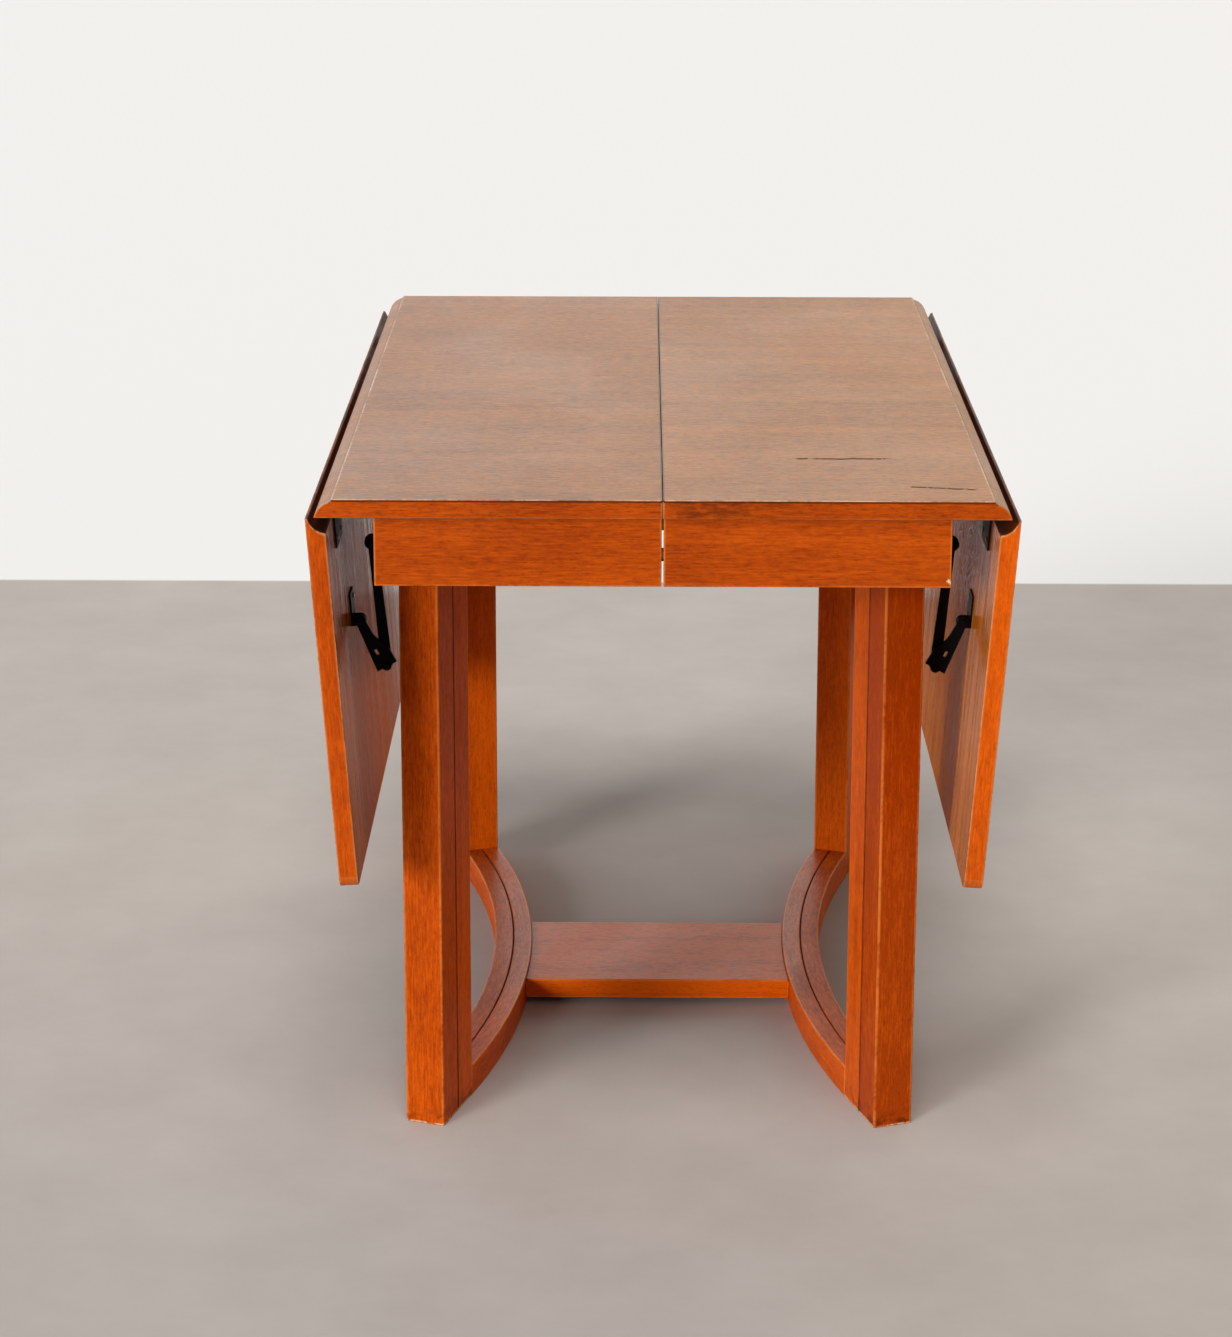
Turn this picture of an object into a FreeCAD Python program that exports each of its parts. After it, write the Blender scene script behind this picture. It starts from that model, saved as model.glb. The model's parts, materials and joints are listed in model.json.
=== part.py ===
import FreeCAD, Part
import math
import os

# Drop-leaf extension table, in millimetres, with +Z up, the floor at z = 0 and the middle of the
# table at x = y = 0. The two halves of the top slide apart along X, and the hinges run along Y.
# Everything is built for the right half (x > 0) at the front (y < 0) and mirrored from there.

# Top
table_height = 749.0
table_length = 717.0
table_depth = 1067.0
top_thickness = 20.0
top_gap = 0.6

# Rule joint between the top and a leaf: a sloped step, then a rounded nose in the leaf's cove
nose_reach = 16.0
step_height = 3.0
step_run = 2.2
pivot_out = 2.5
pivot_drop = 2.5
rule_clearance = 0.45
lip_clearance = 0.6

# Drop leaves, which hang a few degrees past upright
leaf_length = 407.0
leaf_corner_radius = 12.0
leaf_tilt_degrees = 4.0

# Aprons under the top
apron_gap = 2.0
apron_end_setback = 61.0
apron_height = 73.0
apron_thickness = 20.0
side_apron_thickness = 13.5
apron_setback = 3.0
corner_block_size = 40.0
corner_block_height = 40.0

# Alignment dowels between the two halves of an apron
align_radius = 7.0
align_reach = 24.0
align_drop = 41.0
align_clearance = 0.4

# Curved stretchers and the legs at their ends, both made of two layers with a grooved seam
stretcher_end_setback = 195.5
stretcher_radius = 1075.0
stretcher_height = 36.0
leg_width = 45.0
leg_depth = 88.0
leg_clearance = 2.5
arris_radius = 1.5
seam_depth = 2.0
seam_width = 2.4

# Platform shelf between the stretchers
shelf_depth = 182.0
shelf_thickness = 24.0
shelf_drop = 3.5

# Rails that tie the leg tops together
rail_thickness = 25.0
end_rail_height = 60.0
cross_rail_height = 50.0
cross_rail_inset = 158.0

# Dowels of the base joints
dowel_radius = 4.0
dowel_length = 40.0
rail_dowel_spacing = 28.0
shelf_dowel_inset = 46.0

# Wooden slides on the leg tops, and the runners that each half hangs on
slide_room = 48.0
slide_width = 28.0
slide_overhang = 25.0
slide_top_clearance = 2.0
groove_height = 14.0
groove_depth = 8.0
slide_clearance = 0.4
runner_width = 14.0
runner_lift = 2.0
runner_end_gap = 4.0
runner_relief = 0.5

# Hinges of the rule joints
hinge_inset = 110.0
hinge_width = 60.0
hinge_plate = 2.0
top_plate_reach = 36.0
leaf_plate_reach = 52.0
knuckle_radius = 3.2
knuckle_gap = 0.4
hinge_pin_radius = 1.5
hinge_pocket = 0.6
hinge_screw_spacing = 36.0
hinge_screw_edge = 9.0

# Folding stays under the leaves: an arm on the apron and a link on the leaf, side by side
stay_inset = 161.5
stay_pivot_out = 15.0
stay_pivot_rise = 3.5
ear_reach = 156.0
ear_drop = 10.0
stay_arm_length = 140.0
stay_slack = 0.8
strap_thickness = 4.0
strap_gap = 0.4
arm_top_width = 9.0
arm_end_width = 12.5
arm_boss_radius = 8.0
strap_overrun = 1.0
knuckle_boss_radius = 5.5
link_eye_radius = 6.5
link_neck_width = 10.0
link_neck_reach = 14.0
link_head_width = 24.0
link_head_back = 19.0
link_slit_length = 7.0
link_slit_width = 3.2
link_slit_offset = 15.0
link_slit_shift = 1.8
bracket_plate = 2.0
bracket_width = 32.0
ear_radius = 7.0
ear_plate_length = 36.0
apron_plate_height = 54.0
bracket_screw_inset = 8.0
stay_pin_radius = 2.5
stay_head_radius = 4.6
stay_head_height = 1.6
stay_head_gap = 0.3

# Screws and running fits
pin_fit = 0.05
screw_fit = 0.1
head_taper = 0.7
plate_screw_radius = 1.75
plate_screw_head = 3.5
plate_screw_head_height = 1.4
plate_screw_length = 13.0
wood_screw_radius = 2.5
wood_screw_head = 4.5
wood_screw_head_height = 3.0
wood_screw_grip = 18.0
wood_screw_bite = 13.0
runner_screw_inset = 40.0
runner_screw_count = 3

# Derived places
half_length = table_length / 2
half_depth = table_depth / 2
half_top_gap = top_gap / 2
underside = table_height - top_thickness
nose_rise = top_thickness - step_height
nose_x = half_length - nose_reach
face_end = nose_x - step_run
pivot_x = nose_x + pivot_out
pivot_z = underside - pivot_drop
leaf_swing = 90.0 + leaf_tilt_degrees
hinge_places = [-(half_depth - hinge_inset), 0.0, half_depth - hinge_inset]
knuckle_share = hinge_width / 3

# The nose's arc ends at its tip square to the line from the hinge pin, so the cove opens as the leaf swings
tip_out = half_length - pivot_x
tip_reach = math.hypot(tip_out, pivot_drop)
nose_chord = math.hypot(nose_reach, nose_rise)
nose_radius = nose_chord ** 2 * tip_reach / (2 * (nose_reach * tip_out - nose_rise * pivot_drop))
nose_centre_x = half_length - nose_radius * tip_out / tip_reach
nose_centre_z = underside - nose_radius * pivot_drop / tip_reach
cove_radius = nose_radius + rule_clearance

half_apron_gap = apron_gap / 2
apron_out = half_length - apron_end_setback
apron_bottom = underside - apron_height
apron_face = half_depth - apron_setback
apron_back = apron_face - apron_thickness
side_apron_in = apron_out - side_apron_thickness

leg_height = underside - slide_room
stretcher_inner_radius = stretcher_radius + leg_width / 2
stretcher_outer_radius = stretcher_radius - leg_width / 2
stretcher_end_y = half_depth - stretcher_end_setback
leg_turn = math.asin(stretcher_end_y / stretcher_radius)
leg_corner_out = leg_width / 2 * math.cos(leg_turn) + leg_depth * math.sin(leg_turn)
stretcher_end_x = side_apron_in - leg_clearance - leg_corner_out
arc_centre_x = stretcher_end_x + stretcher_radius * math.cos(leg_turn)
leg_centre_x = stretcher_end_x + leg_depth / 2 * math.sin(leg_turn)
leg_centre_y = stretcher_end_y + leg_depth / 2 * math.cos(leg_turn)
shelf_top = stretcher_height - shelf_drop
end_rail_in = stretcher_end_x - rail_thickness / 2
cross_rail_y = stretcher_end_y - cross_rail_inset

slide_top = underside - slide_top_clearance
slide_end = leg_centre_x + slide_overhang
groove_middle = (leg_height + slide_top) / 2
runner_end = side_apron_in - runner_end_gap

stay_y = half_depth - stay_inset
link_front = -(stay_y + strap_gap / 2 + strap_thickness)
link_back = link_front + strap_thickness
arm_front = link_back + strap_gap
arm_back = arm_front + strap_thickness
arm_pivot_x = apron_out + stay_pivot_out
arm_pivot_z = apron_bottom + stay_pivot_rise
ear_x = pivot_x + ear_reach
ear_z = underside - ear_drop
stay_reach = math.hypot(ear_x - arm_pivot_x, ear_z - arm_pivot_z)
link_length = stay_reach + stay_slack - stay_arm_length

# Directions
ORIGIN = FreeCAD.Vector(0, 0, 0)
X_AXIS = FreeCAD.Vector(1, 0, 0)
Y_AXIS = FreeCAD.Vector(0, 1, 0)
Z_AXIS = FreeCAD.Vector(0, 0, 1)


def place(x, y, z):
    """A point in space."""
    return FreeCAD.Vector(x, y, z)


def block(x_range, y_range, z_range):
    """A box between the given limits along each axis."""
    lengths = [high - low for low, high in (x_range, y_range, z_range)]
    return Part.makeBox(*lengths, place(x_range[0], y_range[0], z_range[0]))


def rod(start, direction, radius, length):
    """A round bar from a point along a direction."""
    return Part.makeCylinder(radius, length, start, direction)


def y_rod(x, z, y_start, y_end, radius):
    """A round bar along Y."""
    return rod(place(x, y_start, z), Y_AXIS, radius, y_end - y_start)


def outline_face(steps):
    """A flat face round a list of points; a pair (middle, end) stands for an arc to that end."""
    edges = []
    here = steps[0]
    for step in steps[1:] + [steps[0]]:
        if isinstance(step, tuple):
            middle, end = step
            edges.append(Part.Arc(here, middle, end).toShape())
            here = end
        else:
            edges.append(Part.makeLine(here, step))
            here = step
    return Part.Face(Part.Wire(edges))


def one_solid(shape):
    """The single solid that a boolean leaves, with its split faces joined."""
    return shape.removeSplitter().Solids[0]


def cut_all(shape, tools):
    """The shape with every tool taken out of it."""
    return one_solid(shape.cut(Part.makeCompound(tools)))


def in_mirror(shape, normal):
    """The shape mirrored in the plane through the origin with this normal."""
    return shape.mirror(ORIGIN, normal)


def front_and_rear(shape):
    """A front piece and its mirror image at the rear."""
    return [shape, in_mirror(shape, Y_AXIS)]


def hanging(shape):
    """A piece of the right leaf, built level with the top, swung down to where the leaf hangs."""
    turned = shape.copy()
    turned.rotate(place(pivot_x, 0, pivot_z), Y_AXIS, leaf_swing)
    return turned


def hung_point(x, z):
    """Where a point of the raised right leaf goes when the leaf hangs."""
    swing = math.radians(leaf_swing)
    out, up = x - pivot_x, z - pivot_z
    hung_x = pivot_x + out * math.cos(swing) + up * math.sin(swing)
    hung_z = pivot_z - out * math.sin(swing) + up * math.cos(swing)
    return hung_x, hung_z


def knuckle_point():
    """The folded stay's knuckle: where circles round the arm's pivot and the hung ear cross, inboard."""
    hung_x, hung_z = hung_point(ear_x, ear_z)
    along_x, along_z = hung_x - arm_pivot_x, hung_z - arm_pivot_z
    apart = math.hypot(along_x, along_z)
    foot = (stay_arm_length ** 2 - link_length ** 2 + apart ** 2) / (2 * apart)
    off = math.sqrt(stay_arm_length ** 2 - foot ** 2)
    x = arm_pivot_x + (foot * along_x + off * along_z) / apart
    z = arm_pivot_z + (foot * along_z - off * along_x) / apart
    return x, z


# Screws

def screw(seat, direction, radius, head_radius, head_height, length):
    """A screw with a tapered head whose flat underside sits at the seat."""
    shank = rod(seat, direction, radius, length)
    head = Part.makeCone(head_radius, head_radius * head_taper, head_height, seat, direction * -1)
    return one_solid(shank.fuse(head))


def plate_screw(seat, direction):
    """A small screw that holds a metal plate to the wood."""
    return screw(seat, direction, plate_screw_radius, plate_screw_head, plate_screw_head_height,
                 plate_screw_length)


def plate_screw_hole(seat, direction):
    """The hole that a plate screw turns into."""
    return rod(seat, direction, plate_screw_radius + screw_fit, plate_screw_length + screw_fit)


def wood_screw(seat, direction):
    """A larger screw that holds one rail on another piece."""
    return screw(seat, direction, wood_screw_radius, wood_screw_head, wood_screw_head_height,
                 wood_screw_grip + wood_screw_bite)


def wood_screw_hole(seat, direction, sink):
    """The hole of a wood screw, with a wide counterbore of the given depth behind its seat."""
    length = wood_screw_grip + wood_screw_bite + screw_fit
    shank = rod(seat, direction, wood_screw_radius + screw_fit, length)
    counterbore = rod(seat, direction * -1, wood_screw_head + screw_fit, sink)
    return shank.fuse(counterbore)


# Base

def leg_point(across, along, z=0.0):
    """A point of the front right leg: across its width, and along its depth from the stretcher's end."""
    x = stretcher_end_x + across * math.cos(leg_turn) + along * math.sin(leg_turn)
    y = -stretcher_end_y + across * math.sin(leg_turn) - along * math.cos(leg_turn)
    return place(x, y, z)


def leg_board(outer, seam):
    """One board of the front right leg, between its outer face and the seam, with eased corners."""
    side = leg_width / 2
    toward = 1 if seam > outer else -1
    ease = arris_radius * (1 - math.sqrt(0.5))
    lip = seam - toward * seam_width / 2
    steps = [
        leg_point(-side, lip),
        leg_point(-side, outer + toward * arris_radius),
        (leg_point(-side + ease, outer + toward * ease), leg_point(-side + arris_radius, outer)),
        leg_point(side - arris_radius, outer),
        (leg_point(side - ease, outer + toward * ease), leg_point(side, outer + toward * arris_radius)),
        leg_point(side, lip),
        leg_point(side - seam_depth, seam),
        leg_point(-side + seam_depth, seam),
    ]
    return outline_face(steps).extrude(Z_AXIS * leg_height)


def stretcher_layer(outer, seam):
    """One layer of the right stretcher: its section between two radii, turned about the arc's centre."""
    toward = 1 if seam > outer else -1
    section = [
        place(-outer, 0, 0),
        place(-seam, 0, 0),
        place(-seam, 0, stretcher_height - seam_depth),
        place(-seam + toward * seam_width / 2, 0, stretcher_height),
        place(-outer, 0, stretcher_height),
    ]
    turn = math.degrees(leg_turn)
    layer = outline_face(section).revolve(ORIGIN, Z_AXIS, 2 * turn)
    layer.rotate(ORIGIN, Z_AXIS, -turn)
    layer.translate(X_AXIS * arc_centre_x)
    return layer


def shelf_board():
    """The platform shelf, with its ends coped to the inner faces of both stretchers."""
    board = block((-stretcher_end_x, stretcher_end_x), (-shelf_depth / 2, shelf_depth / 2),
                  (shelf_top - shelf_thickness, shelf_top))
    cope = rod(place(arc_centre_x, 0, 0), Z_AXIS, stretcher_inner_radius, table_height)
    return cut_all(board, [cope, in_mirror(cope, X_AXIS)])


def end_rail():
    """The right end rail between the front and rear legs, trimmed to their slanting faces."""
    rail = block((end_rail_in, end_rail_in + rail_thickness), (-half_depth, half_depth),
                 (leg_height - end_rail_height, leg_height))
    past_leg = outline_face([
        leg_point(-half_depth, 0),
        leg_point(half_depth, 0),
        leg_point(half_depth, table_depth),
        leg_point(-half_depth, table_depth),
    ]).extrude(Z_AXIS * leg_height)
    return cut_all(rail, front_and_rear(past_leg))


def cross_rail():
    """The front cross rail between the two end rails."""
    edges = (-cross_rail_y - rail_thickness / 2, -cross_rail_y + rail_thickness / 2)
    return block((-end_rail_in, end_rail_in), edges, (leg_height - cross_rail_height, leg_height))


def quarter_dowels(radius, length):
    """Round bars of the given size in every base joint of the front right quarter."""
    outward = place(math.sin(leg_turn), -math.cos(leg_turn), 0)
    back = length / 2
    joints = []
    for across in (-leg_width / 4, leg_width / 4):
        joints.append((leg_point(across, 0, stretcher_height / 2), outward))
    for step in (-0.5, 0.5):
        rail_z = leg_height - end_rail_height / 2 + step * rail_dowel_spacing
        cross_z = leg_height - cross_rail_height / 2 + step * rail_dowel_spacing
        joints.append((leg_point(0, 0, rail_z), outward))
        joints.append((place(end_rail_in, -cross_rail_y, cross_z), X_AXIS))
    shelf_y = shelf_depth / 2 - shelf_dowel_inset
    shelf_x = arc_centre_x - math.sqrt(stretcher_inner_radius ** 2 - shelf_y ** 2)
    joints.append((place(shelf_x, -shelf_y, shelf_top - shelf_thickness / 2), X_AXIS))
    return [rod(seat - direction * back, direction, radius, length) for seat, direction in joints]


def all_quarters(pieces):
    """The pieces of the front right quarter and their copies in the other three."""
    halves = pieces + [in_mirror(piece, Y_AXIS) for piece in pieces]
    return halves + [in_mirror(piece, X_AXIS) for piece in halves]


def slide_seats():
    """Where the two screws of the front slide sit, on the grip left under their counterbores."""
    seat_z = leg_height + wood_screw_grip
    return [place(side * leg_centre_x, -leg_centre_y, seat_z) for side in (-1, 1)]


def fixed_slide():
    """The front slide on the leg tops, grooved along both sides."""
    length = (-slide_end, slide_end)
    edges = (-leg_centre_y - slide_width / 2, -leg_centre_y + slide_width / 2)
    rail = block(length, edges, (leg_height, slide_top))
    height = (groove_middle - groove_height / 2, groove_middle + groove_height / 2)
    tools = [block(length, (edge - groove_depth, edge + groove_depth), height) for edge in edges]
    sink = slide_top - leg_height - wood_screw_grip
    for seat in slide_seats():
        tools.append(wood_screw_hole(seat, Z_AXIS * -1, sink))
    return cut_all(rail, tools)


# Sliding halves

def runner(lane):
    """A front runner for the right half, on the inner (1) or outer (-1) side of the fixed slide."""
    near = -leg_centre_y + lane * (slide_width / 2 + slide_clearance)
    far = near + lane * runner_width
    tip = near - lane * (groove_depth - slide_clearance)
    tongue_half = groove_height / 2 - slide_clearance
    length = (-slide_end, runner_end)
    bar = block(length, sorted((near, far)), (leg_height + runner_lift, underside))
    tongue = block(length, sorted((near, tip)), (groove_middle - tongue_half, groove_middle + tongue_half))
    relief = block((-slide_end, half_top_gap), sorted((near, far)), (underside - runner_relief, underside))
    sink = underside - wood_screw_grip - leg_height - runner_lift
    holes = [wood_screw_hole(seat, Z_AXIS, sink) for seat in runner_seats(lane)]
    return cut_all(bar.fuse(tongue), [relief] + holes)


def runner_seats(lane):
    """Where the screws of a runner sit, evenly along the stretch under its own half."""
    y = -leg_centre_y + lane * (slide_width / 2 + slide_clearance + runner_width / 2)
    first = half_top_gap + runner_screw_inset
    pitch = (runner_end - runner_screw_inset - first) / (runner_screw_count - 1)
    return [place(first + pitch * i, y, underside - wood_screw_grip) for i in range(runner_screw_count)]


def nose_bend(radius, start, end):
    """The middle of an arc of this radius round the nose's centre, between two points on it."""
    centre = place(nose_centre_x, 0, nose_centre_z)
    toward = (start + end) * 0.5 - centre
    return centre + toward * (radius / toward.Length)


def top_board():
    """The right half of the top, with its nose and the pockets for the hinges."""
    tip = place(half_length, 0, underside)
    nose_top = place(nose_x, 0, underside + nose_rise)
    profile = outline_face([
        place(half_top_gap, 0, underside),
        tip,
        (nose_bend(nose_radius, tip, nose_top), nose_top),
        place(face_end, 0, table_height),
        place(half_top_gap, 0, table_height),
    ])
    board = profile.extrude(Y_AXIS * table_depth)
    board.translate(Y_AXIS * -half_depth)
    return cut_all(board, [hinge_pocket_tool(y) for y in hinge_places])


def hinge_pocket_tool(y):
    """The hollow in the top's underside that clears one hinge's knuckle and leaf plate."""
    side = hinge_width / 2 + hinge_pocket
    round_part = y_rod(pivot_x, pivot_z, y - side, y + side, knuckle_radius + hinge_pocket)
    flat_part = block((pivot_x, half_length + nose_reach), (y - side, y + side),
                      (pivot_z, underside + hinge_pocket))
    return round_part.fuse(flat_part)


def front_apron():
    """The right half of the front apron."""
    return block((half_apron_gap, apron_out), (-apron_face, -apron_back), (apron_bottom, underside))


def side_apron():
    """The right side apron, between the front and rear ones."""
    return block((side_apron_in, apron_out), (-apron_back, apron_back), (apron_bottom, underside))


def corner_block():
    """The three-cornered block in the front right corner of the aprons."""
    corner = [
        place(side_apron_in, -apron_back, underside),
        place(side_apron_in - corner_block_size, -apron_back, underside),
        place(side_apron_in, -apron_back + corner_block_size, underside),
    ]
    return outline_face(corner).extrude(Z_AXIS * -corner_block_height)


def align_rod(radius, reach):
    """A round bar across the middle of the front apron, reaching equally into both halves."""
    middle_y = -(apron_face + apron_back) / 2
    return rod(place(-reach, middle_y, underside - align_drop), X_AXIS, radius, 2 * reach)


# Hinges

def hinge_half(y, plate_span, own_middle):
    """One plate of a hinge with its share of the knuckle: the middle third, or the two outer thirds."""
    side = hinge_width / 2
    third = knuckle_share / 2
    plate = block(plate_span, (y - side, y + side), (underside - hinge_plate, underside))
    middle = (y - third, y + third)
    outers = [(y - side, y - third), (y + third, y + side)]
    own, other = ([middle], outers) if own_middle else (outers, [middle])
    clear = knuckle_gap / 2
    tools = []
    for low, high in other:
        tools.append(y_rod(pivot_x, pivot_z, low - clear, high + clear, knuckle_radius + knuckle_gap))
    body = plate.cut(Part.makeCompound(tools))
    for low, high in own:
        body = body.fuse(y_rod(pivot_x, pivot_z, low + clear, high - clear, knuckle_radius))
    bore = y_rod(pivot_x, pivot_z, y - side, y + side, hinge_pin_radius + pin_fit)
    return cut_all(body, [bore])


def hinge_seats(edge_x, inward):
    """Seats of the two screws at the far edge of each hinge plate."""
    x = edge_x + inward * hinge_screw_edge
    seats = []
    for y in hinge_places:
        for step in (-0.5, 0.5):
            seats.append(place(x, y + step * hinge_screw_spacing, underside - hinge_plate))
    return seats


def raised_leaf():
    """The right leaf level with the top: its cove fits round the nose, its free corners are rounded."""
    lip = face_end + lip_clearance
    slope = step_run / step_height
    lip_out, lip_up = lip - nose_centre_x, table_height - nose_centre_z
    a = 1 + slope ** 2
    b = lip_out * slope - lip_up
    c = lip_out ** 2 + lip_up ** 2 - cove_radius ** 2
    fall = (-b - math.sqrt(b ** 2 - a * c)) / a
    lip_end = place(lip + fall * slope, 0, table_height - fall)
    cove_run = math.sqrt(cove_radius ** 2 - (underside - nose_centre_z) ** 2)
    cove_start = place(nose_centre_x + cove_run, 0, underside)
    free_end = lip + leaf_length
    profile = outline_face([
        place(lip, 0, table_height),
        place(free_end, 0, table_height),
        place(free_end, 0, underside),
        cove_start,
        (nose_bend(cove_radius, cove_start, lip_end), lip_end),
    ])
    board = profile.extrude(Y_AXIS * table_depth)
    board.translate(Y_AXIS * -half_depth)
    radius = leaf_corner_radius
    ease = radius * (1 - math.sqrt(0.5))
    low = underside - top_thickness
    plan = outline_face([
        place(lip - top_thickness, -half_depth, low),
        place(free_end - radius, -half_depth, low),
        (place(free_end - ease, -half_depth + ease, low), place(free_end, -half_depth + radius, low)),
        place(free_end, half_depth - radius, low),
        (place(free_end - ease, half_depth - ease, low), place(free_end - radius, half_depth, low)),
        place(lip - top_thickness, half_depth, low),
    ])
    return one_solid(board.common(plan.extrude(Z_AXIS * (3 * top_thickness))))


# Folding stays

def strap(start, end, outline, bosses, y_start):
    """A flat strap in XZ from an outline drawn along the line from start to end, with round bosses."""
    body = outline_face(outline).extrude(Y_AXIS * strap_thickness)
    for along, radius in bosses:
        body = body.fuse(y_rod(along, 0, 0, strap_thickness, radius))
    lie = math.degrees(math.atan2(end[1] - start[1], end[0] - start[0]))
    body.rotate(ORIGIN, Y_AXIS, -lie)
    body.translate(place(start[0], y_start, start[1]))
    return one_solid(body)


def stay_arm():
    """The front arm, from the apron bracket's pivot down to the knuckle, widening on the way."""
    pivot = (arm_pivot_x, arm_pivot_z)
    knuckle = knuckle_point()
    length = stay_arm_length + strap_overrun
    outline = [
        place(0, 0, -arm_top_width / 2),
        place(length, 0, -arm_end_width / 2),
        place(length, 0, arm_end_width / 2),
        place(0, 0, arm_top_width / 2),
    ]
    bosses = [(0, arm_boss_radius), (stay_arm_length, knuckle_boss_radius)]
    arm = strap(pivot, knuckle, outline, bosses, arm_front)
    bore = stay_pin_radius + pin_fit
    return cut_all(arm, [y_rod(*spot, arm_front, arm_back, bore) for spot in (pivot, knuckle)])


def stay_link():
    """The front link, from the leaf's ear to the knuckle: a neck that flares into a slit head."""
    ear = hung_point(ear_x, ear_z)
    knuckle = knuckle_point()
    neck = link_neck_width / 2
    head = link_head_width / 2
    shoulder = link_length - link_head_back
    flare = ((link_neck_reach + 2 * shoulder) / 3, (2 * neck + head) / 3)
    outline = [
        place(0, 0, neck),
        place(link_length + strap_overrun, 0, head),
        place(link_length + strap_overrun, 0, -head),
        place(shoulder, 0, -head),
        (place(flare[0], 0, -flare[1]), place(link_neck_reach, 0, -neck)),
        place(0, 0, -neck),
    ]
    bosses = [(0, link_eye_radius), (link_length, knuckle_boss_radius)]
    link = strap(ear, knuckle, outline, bosses, link_front)
    slit_end = link_length - link_slit_offset
    slit_low = link_slit_shift - link_slit_width / 2
    slit_high = link_slit_shift + link_slit_width / 2
    slit_outline = [
        place(slit_end - link_slit_length, 0, slit_low),
        place(slit_end, 0, slit_low),
        place(slit_end, 0, slit_high),
        place(slit_end - link_slit_length, 0, slit_high),
    ]
    bore = stay_pin_radius + pin_fit
    holes = [y_rod(*spot, link_front, link_back, bore) for spot in (ear, knuckle)]
    holes.append(strap(ear, knuckle, slit_outline, [], link_front))
    return cut_all(link, holes)


def stay_pin(x, z, from_y, to_y, front_gap, back_gap):
    """A pivot pin through two straps, with a head at each end and a running gap where one turns."""
    start = from_y - front_gap
    end = to_y + back_gap
    shank = y_rod(x, z, start, end, stay_pin_radius)
    front_head = Part.makeCone(stay_head_radius, stay_head_radius * head_taper, stay_head_height,
                               place(x, start, z), Y_AXIS * -1)
    back_head = Part.makeCone(stay_head_radius, stay_head_radius * head_taper, stay_head_height,
                              place(x, end, z), Y_AXIS)
    return one_solid(shank.fuse(front_head).fuse(back_head))


def knuckle_rivet(from_y, to_y, head_direction):
    """The knuckle's rivet in one strap, with its head on that strap's free face."""
    x, z = knuckle_point()
    head_y = from_y if head_direction < 0 else to_y
    shank = y_rod(x, z, from_y, to_y, stay_pin_radius)
    head = Part.makeCone(stay_head_radius, stay_head_radius * head_taper, stay_head_height,
                         place(x, head_y, z), Y_AXIS * head_direction)
    return one_solid(shank.fuse(head))


def apron_bracket():
    """The front stay's bracket on the right side apron: a screwed plate and a lug for the arm's pin."""
    plate = block((apron_out, apron_out + bracket_plate), (link_front, link_front + bracket_width),
                  (apron_bottom, apron_bottom + apron_plate_height))
    lug = block((apron_out, arm_pivot_x), (link_front, link_back),
                (apron_bottom, arm_pivot_z + arm_boss_radius))
    eye = y_rod(arm_pivot_x, arm_pivot_z, link_front, link_back, arm_boss_radius)
    hole = y_rod(arm_pivot_x, arm_pivot_z, link_front, link_back, stay_pin_radius + pin_fit)
    return cut_all(plate.fuse(lug).fuse(eye), [hole])


def apron_bracket_seats():
    """Seats of the two screws of the front apron bracket."""
    y = link_front + bracket_width - bracket_screw_inset
    low = arm_pivot_z + arm_boss_radius + bracket_screw_inset
    high = apron_bottom + apron_plate_height - bracket_screw_inset
    return [place(apron_out + bracket_plate, y, z) for z in (low, high)]


def leaf_bracket():
    """The front stay's bracket on the raised right leaf: a screwed plate and an ear for the link's pin."""
    plate = block((ear_x + ear_radius - ear_plate_length, ear_x + ear_radius),
                  (arm_front, arm_front + bracket_width), (underside - bracket_plate, underside))
    ear = block((ear_x - ear_radius, ear_x + ear_radius), (arm_front, arm_back), (ear_z, underside))
    eye = y_rod(ear_x, ear_z, arm_front, arm_back, ear_radius)
    hole = y_rod(ear_x, ear_z, arm_front, arm_back, stay_pin_radius + pin_fit)
    return cut_all(plate.fuse(ear).fuse(eye), [hole])


def leaf_bracket_seats():
    """Seats of the two screws of the front leaf bracket."""
    y = arm_front + bracket_width - bracket_screw_inset
    inner = ear_x + ear_radius - ear_plate_length + bracket_screw_inset
    outer = ear_x + ear_radius - bracket_screw_inset
    return [place(x, y, underside - bracket_plate) for x in (inner, outer)]


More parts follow.
